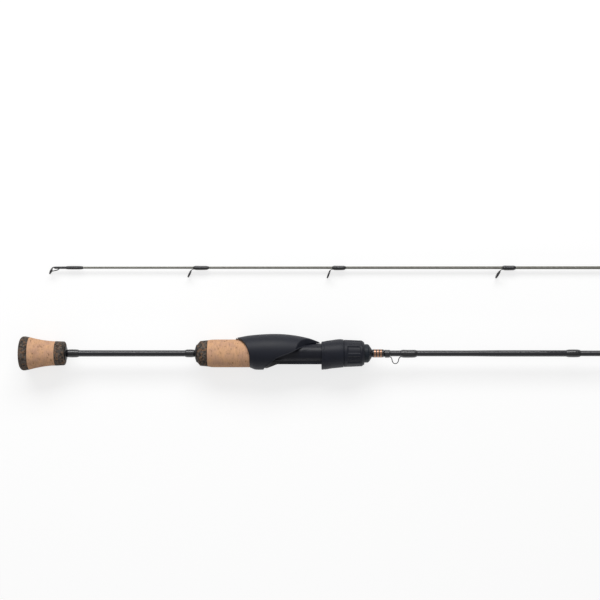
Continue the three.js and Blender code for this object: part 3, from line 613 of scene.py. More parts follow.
def cork_pits(piece, axis, seed):
    """Sinks small pits into a cork's face and stores how deep each point went."""
    shapes = bpy.context.scene.rod_shapes
    mesh = piece.data
    co = np.zeros(len(mesh.vertices) * 3)
    mesh.vertices.foreach_get("co", co)
    co = co.reshape(-1, 3)
    y, z = co[:, 1] - axis[0], co[:, 2] - axis[1]
    radius = np.hypot(y, z)
    angle = np.arctan2(z, y)
    rng = np.random.default_rng(seed)
    low, high = co[:, 0].min(), co[:, 0].max()
    face = radius > 0.7 * np.interp(co[:, 0], [low, high], [radius.max()] * 2)
    area = 2 * math.pi * radius.max() * (high - low) / (10 * MM) ** 2
    depth = np.zeros(len(co))
    for _ in range(int(shapes.pits_per_cm2 * area)):
        x0 = rng.uniform(low + 1.2 * MM, high - 1.2 * MM)
        a0 = rng.uniform(-math.pi, math.pi)
        along, across = rng.uniform(0.22, 0.55) * MM, rng.uniform(0.3, 0.95) * MM
        deep = rng.uniform(0.35, 1.0) ** 2
        turn = (angle - a0 + math.pi) % (2 * math.pi) - math.pi
        d2 = ((co[:, 0] - x0) / along) ** 2 + (turn * radius / across) ** 2
        depth = np.maximum(depth, deep * np.exp(-d2))
    depth[~face] = 0
    shrink = 1 - depth * shapes.pit_depth / np.maximum(radius, 1e-6)
    co[:, 1] = axis[0] + y * shrink
    co[:, 2] = axis[1] + z * shrink
    mesh.vertices.foreach_set("co", co.ravel())
    # This depth later darkens the cork's colour: partly the pores' own dark filling, partly painted
    # shade.
    store = mesh.attributes.new("pit", "FLOAT", "POINT")
    store.data.foreach_set("value", np.clip(depth * 1.1, 0, 1).astype(np.float32))
    mesh.update()


class ROD_OT_butt_knob(bpy.types.Operator):
    """Builds the composite cap, the flared cork and the composite collar of the butt"""
    bl_idname = "rod.butt_knob"
    bl_label = "Butt knob"

    def execute(self, context):
        composite = composite_material()
        xs, outer, _ = stations("butt_cap", HANDLE_AXIS)
        rim = outer.max()
        fillet = 3.2 * MM
        joint = xs[-1] + 0.06 * MM
        corners = [(xs[0], 0), (xs[0], rim - 1.6 * MM), (xs[0] + 1.6 * MM, rim),
                   (xs[0] + fillet + 0.6 * MM, rim), (joint, outer[-1]), (joint, 0)]
        sizes = np.array([0, 2.4, 2.4, 2.4, 0.12, 0]) * MM
        cap = turned("butt_cap_turned", divided(eased(corners, sizes, False), 1.2 * MM, False),
                     HANDLE_AXIS, closed=False)
        finish_piece(cap, composite, "composite_cork", HANDLE, "butt_cap")

        loop = divided(sleeve_loop("butt_cork", HANDLE_AXIS, 0.1 * MM, smooth=True), 0.3 * MM)
        cork = turned("butt_cork_turned", loop, HANDLE_AXIS, facets=220)
        cork_pits(cork, HANDLE_AXIS, 3)
        finish_piece(cork, cork_material(), "cork", HANDLE, "butt_cork")

        xs, outer, inner = stations("butt_collar", HANDLE_AXIS)
        loop = eased([(xs[0] - 0.06 * MM, outer[0]), (xs[-1], outer.max() - 0.3 * MM),
                      (xs[-1], inner.min()), (xs[0] - 0.06 * MM, inner.min())],
                     np.array([0.12, 1.3, 0.3, 0.1]) * MM)
        collar = turned("butt_collar_turned", divided(loop, 0.8 * MM), HANDLE_AXIS)
        finish_piece(collar, composite, "composite_cork", HANDLE, "butt_collar")
        return {"FINISHED"}


class ROD_OT_grip(bpy.types.Operator):
    """Builds the grip's composite collar and its cork, which runs under the shell"""
    bl_idname = "rod.grip"
    bl_label = "Grip"

    def execute(self, context):
        loop = divided(sleeve_loop("grip_collar", HANDLE_AXIS, 0.12 * MM), 0.8 * MM)
        collar = turned("grip_collar_turned", loop, HANDLE_AXIS)
        finish_piece(collar, composite_material(), "composite_cork", HANDLE, "grip_collar")

        loop = divided(sleeve_loop("grip_cork", HANDLE_AXIS, 0.1 * MM, smooth=True), 0.3 * MM)
        cork = turned("grip_cork_turned", loop, HANDLE_AXIS, facets=240)
        cork_pits(cork, HANDLE_AXIS, 8)
        finish_piece(cork, cork_material(), "cork", HANDLE, "grip_cork")
        return {"FINISHED"}


class ROD_OT_checks(bpy.types.Operator):
    """Builds the two winding checks and the rubber cap in front of the seat"""
    bl_idname = "rod.checks"
    bl_label = "Checks and front cap"

    def execute(self, context):
        tints = context.scene.rod_finishes
        black = moulded_material("check_black", (0.014, 0.014, 0.016), 0.38, 0.1)
        for node in ("butt_check", "grip_check"):
            piece = turned(f"{node}_turned", sleeve_loop(node, HANDLE_AXIS, 0.3 * MM), HANDLE_AXIS)
            finish_piece(piece, black, "check", HANDLE, node)
        cap = turned("seat_front_cap_turned", sleeve_loop("seat_front_cap", HANDLE_AXIS, 0.9 * MM),
                     HANDLE_AXIS)
        rubber = moulded_material("front_cap_rubber", tuple(tints.front_cap), 0.5, 0.2)
        finish_piece(cap, rubber, "front_cap", HANDLE, "seat_front_cap")
        return {"FINISHED"}


class ROD_OT_blanks(bpy.types.Operator):
    """Builds the handle blank, the front blank and the tip blank with their glossy finish"""
    bl_idname = "rod.blanks"
    bl_label = "Blanks"

    def execute(self, context):
        tints = context.scene.rod_finishes
        carbon = blank_material("carbon_gloss", tuple(tints.blank), 0.34, 0.8)
        olive = blank_material("tip_blank_satin", tuple(tints.tip_blank), 0.36, 0.45)
        rows = (
            ("handle_blank", HANDLE_AXIS, carbon, "blank", HANDLE),
            ("front_blank", HANDLE_AXIS, carbon, "blank", HANDLE),
            ("ferrule_spigot", TIP_AXIS, carbon, "blank", TIP),
        )
        for node, axis, material, slot, body in rows:
            edge = 0.15 * MM
            xs, outer, inner = stations(node, axis)
            if node == "ferrule_spigot":
                corners = [(xs[0], 0), (xs[0], outer[0]), (xs[-1] - 0.8 * MM, outer.max()),
                           (xs[-1], outer[-1]), (xs[-1], 0)]
                piece = turned(f"{node}_turned", eased(corners, edge, False), axis,
                               closed=False, facets=48)
            else:
                piece = turned(f"{node}_turned", sleeve_loop(node, axis, edge, gap=0), axis, facets=48)
            finish_piece(piece, material, slot, body, node)

        xs, outer, _ = stations("tip_blank", TIP_AXIS)
        loop = [(xs[0], 0), *zip(xs, outer), (xs[-1], 0)]
        piece = turned("tip_blank_turned", np.array(loop), TIP_AXIS, closed=False, facets=40)
        finish_piece(piece, olive, "tip_blank", TIP, "tip_blank")
        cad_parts["splice_spigot"].data.materials.clear()
        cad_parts["splice_spigot"].data.materials.append(carbon)
        return {"FINISHED"}


def wrap_loop(node, axis):
    """A wrap's outline: a full, epoxied middle that runs out thin at both ends."""
    xs, outer, inner = stations(node, axis)
    fine = np.linspace(xs[0], xs[-1], 36)
    t = (fine - xs[0]) / (xs[-1] - xs[0])
    crown = outer.max()
    start, end = outer[0] - 0.08 * MM, outer[-1] - 0.08 * MM
    floor = start + (end - start) * t
    low = 0.35 * MM / (xs[-1] - xs[0])
    fullness = np.clip(np.minimum(t, 1 - t) / (0.16 + low), 0, 1)
    fullness = np.sin(fullness * math.pi / 2) ** 0.8
    middle = 1 - 0.06 * (2 * t - 1) ** 2
    radius = floor + (crown * middle - floor) * fullness
    hole = inner.min() - 0.1 * MM
    return np.array([*zip(fine, radius), (xs[-1], hole), (xs[0], hole)])


class ROD_OT_wraps(bpy.types.Operator):
    """Builds the black thread wraps under epoxy on both sections"""
    bl_idname = "rod.wraps"
    bl_label = "Thread wraps"

    def execute(self, context):
        tints = context.scene.rod_finishes
        black = thread_material("thread_black", tuple(tints.thread))
        rows = [(node, HANDLE_AXIS, HANDLE) for node in (
            "butt_wrap", "rear_trim_wrap", "splice_wrap")]
        rows += [(node, TIP_AXIS, TIP) for node in ("ferrule_stop_wrap", "tip_top_wrap")]
        for node, axis, body in rows:
            piece = turned(f"{node}_wound", wrap_loop(node, axis), axis, facets=56)
            finish_piece(piece, black, "thread", body, node)
        covered = [(node, HANDLE_AXIS, HANDLE) for node in (
            "keeper_rear_wrap", "keeper_front_wrap", "stripper_wrap")]
        covered += [(f"guide_{i}_wrap", TIP_AXIS, TIP) for i in (1, 2, 3)]
        for node, axis, body in covered:
            low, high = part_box(node)
            middle = ((low.y + high.y) / 2, (low.z + high.z) / 2)
            crown = (high.z - low.z) / 2
            blank = "tip_blank" if body == TIP else (
                "front_blank" if node == "stripper_wrap" else "handle_blank")
            bare = [radius_at(blank, axis, x) for x in (low.x, high.x)]
            fine = np.linspace(low.x, high.x, 40)
            t = (fine - low.x) / (high.x - low.x)
            fullness = np.clip(np.minimum(t, 1 - t) / 0.2, 0, 1)
            fullness = np.sin(fullness * math.pi / 2) ** 0.8 * (1 - 0.12 * t)
            floor = bare[0] + (bare[1] - bare[0]) * t + 0.05 * MM
            loop = [*zip(fine, floor + 0.8 * (crown - floor) * fullness),
                    (high.x, 0.4 * crown), (low.x, 0.4 * crown)]

            def lean(x, r, angle, x0=low.x, x1=high.x, shift=axis[0] - middle[0]):
                amount = np.sin(np.clip((x - x0) / (x1 - x0), 0, 1) * math.pi) ** 0.5
                return x, r + shift * np.sin(angle) * amount

            piece = turned(f"{node}_wound", np.array(loop), axis, facets=56, reshape=lean)
            finish_piece(piece, black, "thread", body, node)
        return {"FINISHED"}


class ROD_OT_trim(bpy.types.Operator):
    """Builds the trim wraps and the copper-coloured thread bands let into them"""
    bl_idname = "rod.trim"
    bl_label = "Copper trim"

    def execute(self, context):
        tints = context.scene.rod_finishes
        black = thread_material("thread_black", tuple(tints.thread))
        copper = thread_material("thread_copper", tuple(tints.copper), metallic=0.85, roughness=0.3)
        for node in ("trim_wrap", "ferrule_wrap"):
            piece = turned(f"{node}_wound", sleeve_loop(node, HANDLE_AXIS, 0.12 * MM),
                           HANDLE_AXIS, facets=56)
            finish_piece(piece, black, "thread", HANDLE, node)
        bands = [f"trim_band_{i}" for i in (1, 2, 3)] + [f"ferrule_band_{i}" for i in (1, 2)]
        for node in bands:
            xs, outer, inner = stations(node, HANDLE_AXIS)
            fine = np.linspace(xs[0], xs[-1], 15)
            t = np.linspace(0, 1, 15)
            ridges = 0.03 * MM * np.abs(np.sin(t * math.pi * 5))
            crown = outer.max() + 0.05 * MM + ridges
            loop = [*zip(fine, crown), (xs[-1], inner.min()), (xs[0], inner.min())]
            piece = turned(f"{node}_wound", np.array(loop), HANDLE_AXIS, facets=56)
            finish_piece(piece, copper, "copper_band", HANDLE, node)
        return {"FINISHED"}


# ------------------------------------------------------------------ reel seat

def seat_x(station):
    """A station in millimetres from the foot's middle, in metres."""
    return FOOT_X + station * MM


def barrel_outline():
    """The foot pad's height, half width and front end, from the barrel's own vertices."""
    co = np.array([v.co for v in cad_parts["seat_barrel"].data.vertices])
    y = co[:, 1] - HANDLE_AXIS[0]
    z = co[:, 2] - HANDLE_AXIS[1]
    radius = np.hypot(y, z)
    pad = co[np.abs(y - y.min()) < 0.01 * MM]
    half = np.abs(pad[:, 2] - HANDLE_AXIS[1]).max()
    round_radius = radius[y > 0].max()
    return round_radius, -y.min(), half, pad[:, 0].max()


class ROD_OT_barrel(bpy.types.Operator):
    """Builds the seat's barrel with its foot flat and its screw thread"""
    bl_idname = "rod.barrel"
    bl_label = "Seat barrel"

    def execute(self, context):
        shapes = context.scene.rod_shapes
        low, high = span("seat_barrel")
        radius, flat, half, pad_front = barrel_outline()
        bore = radius - 2 * MM
        thread_rear = pad_front + 1.5 * MM

        def section(x, r, angle):
            down = np.sin(angle)
            across = np.abs(np.cos(angle))
            pad = np.where(down > 0, np.minimum(flat / np.maximum(down, 1e-6),
                                                half / np.maximum(across, 1e-6)), 0)
            on_pad = (r > 0.9 * radius) & (x <= pad_front) & (down > 0)
            shaped = np.where(on_pad, np.maximum(r, pad), r)
            turn = ((x - thread_rear) / shapes.screw_pitch - angle / (2 * math.pi)) % 1.0
            groove = 0.5 * MM * np.clip(1 - np.abs(turn - 0.5) * 3.2, 0, 1)
            cut = (r > 0.9 * radius) & (x > thread_rear + 0.5 * MM)
            return x, np.where(cut, shaped - groove, shaped)

        outside = [(x, radius) for x in np.arange(low, pad_front, 1.5 * MM)]
        outside += [(pad_front, radius), (pad_front + 0.02 * MM, radius)]
        outside += [(x, radius) for x in np.arange(thread_rear, high - 0.3 * MM, 0.2 * MM)]
        loop = [*outside, (high, radius - 0.4 * MM), (high, bore), (low, bore)]
        piece = turned("seat_barrel_moulded", np.array(loop), HANDLE_AXIS, facets=128, reshape=section)
        shade(piece, 28)
        material = moulded_material(
            "barrel_smooth", tuple(context.scene.rod_finishes.barrel), 0.4, 0.12)
        finish_piece(piece, material, "barrel", HANDLE, "seat_barrel")
        return {"FINISHED"}


def oval_body(name, top, belly, flank, first, last, rings=90, around=120, groove=None):
    """A solid with its own reach up, down and sideways at each station in millimetres."""
    x = np.linspace(first, last, rings)
    up, down, side = (hermite(points, x) for points in (top, belly, flank))
    loop = [(seat_x(first), 0), *[(seat_x(s), 1.0) for s in x], (seat_x(last), 0)]

    def section(px, pr, angle):
        below = np.sin(angle)
        reach = np.where(below > 0, down[:, None], up[:, None]) * MM
        wide = side[:, None] * MM
        y, z = reach * below, wide * np.cos(angle)
        r = np.hypot(y, z)
        spin = np.arctan2(y, z)
        if groove:
            r = r - groove(px)
        section.angle = spin
        return px, r

    piece = new_piece(name, *oval_grid(loop, around, section))
    return outward(piece)


def oval_grid(loop, around, section):
    """Like around_axis, but each point keeps the direction that its oval section gives it."""
    angles = np.linspace(0, 2 * math.pi, around, endpoint=False)
    body = np.array(loop)[1:-1]
    x = np.repeat(body[:, :1], around, axis=1)
    angle = np.repeat(angles[None, :], len(body), axis=0)
    x, r = section(x, None, angle)
    spin = section.angle
    y = HANDLE_AXIS[0] - r * np.sin(spin)
    z = HANDLE_AXIS[1] + r * np.cos(spin)
    vertices = np.stack([x, y, z], axis=-1).reshape(-1, 3)
    faces = grid_faces(len(body), around, False)
    faces.append(tuple(range(around)))
    faces.append(tuple(reversed(range((len(body) - 1) * around, len(body) * around))))
    return vertices, faces


def bore_tool(name, first, last, radius, facets=96):
    loop = [(seat_x(first), 0), (seat_x(first), radius), (seat_x(last), radius), (seat_x(last), 0)]
    return turned(name, np.array(loop), HANDLE_AXIS, closed=False, facets=facets)


def side_tool(name, points, half=30):
    """A cutter drawn from the side, in millimetres from the foot's middle and the axis."""
    outline = [(seat_x(x), HANDLE_AXIS[0] + y * MM) for x, y in points]
    return prism(name, outline, (0, 1), (HANDLE_AXIS[1] - half * MM, HANDLE_AXIS[1] + half * MM))


def plan_tool(name, points, low, high):
    """A cutter drawn from the palm side, in millimetres from the foot's middle and the axis."""
    outline = [(seat_x(x), HANDLE_AXIS[1] + z * MM) for x, z in points]
    return prism(name, outline, (0, 2), (HANDLE_AXIS[0] + low * MM, HANDLE_AXIS[0] + high * MM))


def pocket_tool(name, mouth, direction, overrun, grow):
    """The wedge-shaped space below the barrel for one end of the reel's foot."""
    end = mouth + direction * (11 + grow)
    start = mouth - direction * overrun
    xs = sorted([start, end])
    depth = [(x, 11.4 + grow - 1.2 / 11 * (x - mouth) * direction) for x in xs]
    wide = [(x, 8.9 + grow) for x in xs]
    tunnel = oval_body(name, depth, depth, wide, *xs, rings=2, around=72)
    roof = side_tool("roof", [(-90, -6.05), (90, -6.05), (90, 30), (-90, 30)])
    return formed(tunnel, [roof])


SHELL_TOP = [(-47, 12.4), (-36, 14.4), (-18.4, 15.6), (-4, 14.9), (10.4, 12.3), (19.8, 8.95)]
SHELL_BELLY = [(-47, 11.4), (-35.9, 11.5), (-32, 12.9), (-25.6, 13.1), (19.8, 13.1)]
SHELL_FLANK = [(-47, 12.1), (-36, 12.9), (-20, 13.5), (-8, 13.55), (10.4, 11.4), (19.8, 9.2)]
SHELL_SWEEP = [(-24.2, -11.2), (-18.4, -6.4), (-14.7, -3.4), (-3.4, 0.9), (3.5, 4.3), (10.4, 6.5),
               (20.8, 8.5)]
REAR_RISE = 4.6


def rear_edge(height):
    """Station of the shell's rear edge at a height above the axis, both in millimetres."""
    t = np.clip((height + REAR_RISE) / (SHELL_TOP[0][1] + REAR_RISE), 0, 1)
    return SHELL_TOP[0][0] + 11.1 * np.sqrt(1 - t**2)


class ROD_OT_seat_shell(bpy.types.Operator):
    """Builds the soft-touch shell: palm swell, fixed hood, sweeping edge and tongue"""
    bl_idname = "rod.seat_shell"
    bl_label = "Seat shell"

    def sweep_path(self, side):
        """Points along the sweeping edge, just inside the shell's face, on one side."""
        path = []
        for x in np.linspace(-23.4, 9.4, 60):
            height = float(hermite(SHELL_SWEEP, np.array([x]))[0]) + 0.34
            reach = hermite(SHELL_BELLY if height < 0 else SHELL_TOP, np.array([x]))[0]
            wide = hermite(SHELL_FLANK, np.array([x]))[0]
            out = wide * math.sqrt(max(0.0, 1 - (height / reach) ** 2)) + 0.02
            path.append((seat_x(x), HANDLE_AXIS[0] + height * MM, HANDLE_AXIS[1] + side * out * MM))
        return path

    def execute(self, context):
        shapes = context.scene.rod_shapes
        tints = context.scene.rod_finishes
        radius, flat, half, _ = barrel_outline()
        shell = oval_body("seat_shell_moulded", SHELL_TOP, SHELL_BELLY, SHELL_FLANK, -47, 19.8)

        heights = np.linspace(-REAR_RISE, 12.4, 24)
        edge = [(float(rear_edge(h)), float(h)) for h in heights]
        rear = side_tool("rear", [(-55, -30), (-35.9, -30), *edge, (-55, 12.4)])

        sweep_x = np.linspace(-24.2, 20.8, 40)
        sweep = [(-25.6, -30), (-25.6, -14), *zip(sweep_x, hermite(SHELL_SWEEP, sweep_x)), (40, -30)]
        under = side_tool("under", sweep)

        stop = 11.2
        root = 0.32 * (19.8 - stop) + 0.6
        corners = [(stop - 11, 13), (stop - 7, root + 5), (stop - 3, root + 1.7),
                   (stop - 0.5, root + 0.1), (20.8, 0.45)]
        tools = [rear, under]
        for side in (1, -1):
            xs = np.linspace(corners[0][0], 20.8, 30)
            flare = [(x, side * w) for x, w in zip(xs, hermite(corners, xs))]
            tools.append(plan_tool("beside", [(corners[0][0], side * 25), *flare, (20.8, side * 25)],
                                   -20, 40))
        gap = 0.15
        tools.append(bore_tool("cork_space", -48, -34.15, 11.25 * MM))
        tools.append(bore_tool("barrel_space", -35, 21, radius + gap * MM))
        tools.append(side_tool("pad_space", [(-35, -flat / MM - gap), (21, -flat / MM - gap),
                                             (21, 0), (-35, 0)], half / MM + gap))
        tools.append(pocket_tool("pocket", -22.25, -1, 20, 0.75))
        formed(shell, tools, voxel=shapes.mould_voxel, smoothing=5)
        soft = moulded_material("soft_touch", tuple(tints.soft_touch), 0.5, 0.35)
        finish_piece(shell, soft, "seat", HANDLE, "seat_shell")

        for side in (1, -1):
            ridge = wire("shell_sweep_ridge", self.sweep_path(side), 0.36 * MM, sides=12)
            finish_piece(ridge, soft, "seat", HANDLE)

        # A dark bead round the shell's back edge: painted shade of the gap between the shell and the
        # cork.
        path = []
        for angle in np.linspace(0, 2 * math.pi, 96, endpoint=False):
            height = 0.0
            for _ in range(6):
                x = float(rear_edge(height))
                below = math.sin(angle)
                reach = hermite(SHELL_BELLY if below > 0 else SHELL_TOP, np.array([x]))[0]
                wide = hermite(SHELL_FLANK, np.array([x]))[0]
                height = -reach * below
            shrink = 0.955
            path.append((seat_x(x + 0.14), HANDLE_AXIS[0] + height * MM * shrink,
                         HANDLE_AXIS[1] + wide * math.cos(angle) * MM * shrink))
        bead = wire("shell_rear_bead", path, 0.32 * MM, sides=12, closed=True)
        gap_shade = moulded_material("painted_gap_shade", tuple(tints.rim), 0.6, 0.1)
        finish_piece(bead, gap_shade, "seat", HANDLE)
        return {"FINISHED"}


class ROD_OT_hood(bpy.types.Operator):
    """Builds the sliding hood with its lip, its notch for the tongue and its foot pocket"""
    bl_idname = "rod.hood"
    bl_label = "Sliding hood"

    def execute(self, context):
        shapes = context.scene.rod_shapes
        radius, flat, half, _ = barrel_outline()
        rear, front = (x / MM for x in span("sliding_hood"))
        top = [(rear, 9.9), (rear + 7, 10.6), (front - 3, 11.4), (front, 11.1)]
        belly = [(rear, 13.1), (rear + 3, 12.9), (rear + 8, 12.1), (rear + 13, 11.6), (front, 11.1)]
        flank = [(rear, 10.9), (rear + 8, 11.2), (front - 3, 11.4), (front, 11.1)]

        def band_line(px):
            return 0.32 * MM * np.exp(-(((px - seat_x(rear + 2.1)) / (0.32 * MM)) ** 2))

        hood = oval_body("sliding_hood_moulded", top, belly, flank, rear, front, groove=band_line)
        gap = 0.3
        stop = 11.2
        half_notch = 0.32 * (19.8 - stop) + 0.6 + gap
        notch_end = rear + 19.8 - stop + 1.4
        tools = [
            bore_tool("bore", rear - 1, front + 1, radius + gap * MM),
            side_tool("keyway", [(rear - 1, -flat / MM - gap), (front - 3, -flat / MM - gap),
                                 (front - 3, 0), (rear - 1, 0)], half / MM + gap),
            bore_tool("neck_space", front - 3.3, front + 1, 9.6 * MM),
            pocket_tool("hood_pocket", rear, 1, 1, 0.75),
            plan_tool("notch", [(rear - 1, -half_notch - 0.32), (rear - 1, half_notch + 0.32),
                                (notch_end, 0.9), (notch_end, -0.9)], 0, 30),
        ]
        formed(hood, tools, voxel=shapes.hood_voxel, smoothing=3)
        soft = moulded_material("soft_touch", tuple(context.scene.rod_finishes.soft_touch), 0.5, 0.35)
        finish_piece(hood, soft, "seat", HOOD, "sliding_hood")
        return {"FINISHED"}


class ROD_OT_lock_nut(bpy.types.Operator):
    """Builds the lock nut with its recessed finger panels and its neck"""
    bl_idname = "rod.lock_nut"
    bl_label = "Lock nut"

    def execute(self, context):
        shapes = context.scene.rod_shapes
        low, high = span("lock_nut")
        _, hood_front = span("sliding_hood")
        rear = hood_front + 0.3 * MM
        radius = barrel_outline()[0]
        bore = radius + 0.3 * MM
        panel_rear, panel_front = rear + 2.4 * MM, high - 3.0 * MM

        def panels(x, r, angle):
            ends = np.minimum(x - panel_rear, panel_front - x) / (0.9 * MM)
            inside = np.clip(ends, 0, 1)
            wave = ((angle - math.radians(5)) * shapes.nut_panels / (2 * math.pi)) % 1.0
            across = np.clip((0.5 - np.abs(wave - 0.5)) / 0.11 - 0.9, 0, 1)
            ease = (3 * inside**2 - 2 * inside**3) * (3 * across**2 - 2 * across**3)
            outside = r > bore + 1.2 * MM
            return x, np.where(outside & (x > rear), r - 0.62 * MM * ease, r)

        shoulder = np.array([(x, 10.9 * MM + (10.25 - 10.9) * MM * (x - rear) / (high - rear))
                             for x in np.linspace(rear, high - 2.0 * MM, 60)])
        corners = [(low, bore), (low, 9.3 * MM), (rear, 9.3 * MM), *shoulder,
                   (high, 8.95 * MM), (high, bore)]
        loop = eased(corners, 0.3 * MM, turn=30)
        nut = turned("lock_nut_moulded", loop, HANDLE_AXIS, facets=192, reshape=panels)
        shade(nut, 35)
        soft = moulded_material("soft_touch", tuple(context.scene.rod_finishes.soft_touch), 0.5, 0.35)
        finish_piece(nut, soft, "seat", NUT, "lock_nut")
        return {"FINISHED"}


class ROD_OT_inner_parts(bpy.types.Operator):
    """Gives the hood liners and the hidden arbors their materials"""
    bl_idname = "rod.inner_parts"
    bl_label = "Liners and arbors"

    def execute(self, context):
        dark = moulded_material("liner_dark", (0.010, 0.010, 0.012), 0.42, 0.15)
        foam = moulded_material("arbor_foam", (0.21, 0.21, 0.20), 0.85, 0.5)
        for nodes, material in (
            (("fixed_hood_liner", "sliding_hood_liner"), dark),
            (("rear_arbor", "middle_arbor", "front_arbor"), foam),
        ):
            for node in nodes:
                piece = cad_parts[node]
                piece.data.materials.clear()
                piece.data.materials.append(material)
        return {"FINISHED"}


# ------------------------------------------------------------------ keeper, guides and tip-top

def smooth_path(points, count):
    """A smooth path through given points in three dimensions."""
    points = np.array(points, float)
    reach = np.concatenate([[0], np.cumsum(np.linalg.norm(np.diff(points, axis=0), axis=1))])
    at = np.linspace(0, reach[-1], count)
    return np.column_stack([hermite(list(zip(reach, points[:, k])), at) for k in range(3)])


class ROD_OT_keeper(bpy.types.Operator):
    """Builds the hook keeper from one bent wire"""
    bl_idname = "rod.keeper"
    bl_label = "Hook keeper"

    def execute(self, context):
        low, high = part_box("hook_keeper")
        rear = span("keeper_rear_wrap")[1]
        front = span("keeper_front_wrap")[0]
        radius = (high.z - low.z) / 2
        foot = high.y - radius
        bottom = low.y + radius
        middle = (rear + front) / 2
        drop = foot - bottom
        bend = [(4.3, 0), (3.4, 0.10), (2.75, 0.34), (2.45, 0.60), (1.75, 0.86), (0.75, 0.985)]
        left = [(middle - x * MM, foot - t * drop) for x, t in bend]
        right = [(middle + x * MM, foot - t * drop) for x, t in reversed(bend)]
        route = [(low.x + 0.2 * MM, foot), (rear - 1.5 * MM, foot), *left, (middle, bottom), *right,
                 (front + 1.5 * MM, foot), (high.x, foot)]
        path = smooth_path([(x, y, HANDLE_AXIS[1]) for x, y in route], 120)
        piece = wire("hook_keeper_wire", path, radius, sides=18)
        steel = metal_material("keeper_steel", tuple(context.scene.rod_finishes.wire), 0.25)
        finish_piece(piece, steel, "wire", HANDLE, "hook_keeper")
        return {"FINISHED"}


def ring_frame(ring_node):
    """A guide ring's centre, its axis and its diameter, from the ring's own vertices."""
    co = np.array([v.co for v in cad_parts[ring_node].data.vertices])
    centre = (co.min(axis=0) + co.max(axis=0)) / 2
    _, _, directions = np.linalg.svd(co - co.mean(axis=0))
    axis = directions[2] * np.sign(directions[2][0])
    return centre, axis, co[:, 2].max() - co[:, 2].min()


def ring_turned(name, loop, centre, axis, facets=72):
    """A closed [along, radius] outline turned about a ring's own axis."""
    side = np.array([0.0, 0.0, 1.0])
    up = np.cross(side, axis)
    vertices = []
    for along, r in loop:
        for k in range(facets):
            a = 2 * math.pi * k / facets
            vertices.append(centre + axis * along + r * (math.cos(a) * up + math.sin(a) * side))
    return outward(new_piece(name, vertices, grid_faces(len(loop), facets, True)))


def round_loop(x, r, half_x, half_r, count, power=2.0):
    """A rounded section; a higher power is squarer."""
    result = []
    for k in range(count):
        a = 2 * math.pi * k / count
        c, s = math.cos(a), math.sin(a)
        result.append((x + half_x * math.copysign(abs(c) ** (2 / power), c),
                       r + half_r * math.copysign(abs(s) ** (2 / power), s)))
    return result


def build_ring(name, node, body):
    centre, axis, across = ring_frame(node)
    outer = across / 2
    inner = outer * 0.62 / 0.84
    loop = round_loop(0, (outer + inner) / 2, 0.95 * (outer - inner), (outer - inner) / 2, 20)
    piece = ring_turned(name, loop, centre, axis)
    finish_piece(piece, ceramic_material(), "ring", body, node)


def build_guide(name, axis, body, voxel):
    """A single-foot guide: ring holder, stem and tapering foot formed as one."""
    node = f"{name}_frame"
    centre, ring_axis, across = ring_frame(f"{name}_ring")
    low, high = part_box(node)
    holder_out = (high.z - low.z) / 2
    holder_in = across / 2 - 0.02 * MM
    loop = round_loop(0, (holder_out + holder_in) / 2, 0.09 * 2 * holder_out,
                      (holder_out - holder_in) / 2, 20, power=3.2)
    holder = ring_turned(f"{name}_frame_formed", loop, centre, ring_axis)
    towards = np.cross(ring_axis, [0.0, 0.0, 1.0])
    towards *= np.sign(towards[1])
    top = centre + towards * (holder_out - 0.2 * MM)
    blank = "tip_blank" if body == TIP else "front_blank"
    below = axis[0] - radius_at(blank, axis, top[0] + 4 * MM)
    thick = 0.035 * 2 * holder_out
    foot_y = below - thick - 0.08 * MM
    z = axis[1]
    drop = foot_y - top[1]
    path = smooth_path([
        tuple(top - towards * 0.25 * MM), tuple(top + towards * 0.3 * drop),
        (top[0] + 0.75 * drop + 0.5 * MM, foot_y - 0.12 * drop, z),
        (top[0] + 1.2 * drop + 1.6 * MM, foot_y, z),
        (high.x * 0.6 + top[0] * 0.4, foot_y, z), (high.x - 0.3 * MM, foot_y + 0.3 * thick, z),
    ], 60)
    taper = np.interp(np.linspace(0, 1, 60), [0, 0.2, 0.5, 1], [1.5, 1.15, 1.0, 0.45]) * thick
    stem = wire(f"{name}_stem", path, taper * 2.6, sides=16, squash=0.42)
    formed(holder, joined=[stem], voxel=voxel, smoothing=3)
    finish_piece(holder, frame_material(), "guide_frame", body, node)
    build_ring(f"{name}_ring_polished", f"{name}_ring", body)


class ROD_OT_guides(bpy.types.Operator):
    """Builds the line guides of both sections with their ceramic rings"""
    bl_idname = "rod.guides"
    bl_label = "Line guides"

    def execute(self, context):
        voxel = context.scene.rod_shapes.guide_voxel
        for i in (1, 2, 3):
            build_guide(f"guide_{i}", TIP_AXIS, TIP, voxel)
        build_guide("stripper", HANDLE_AXIS, HANDLE, voxel * 1.3)
        return {"FINISHED"}


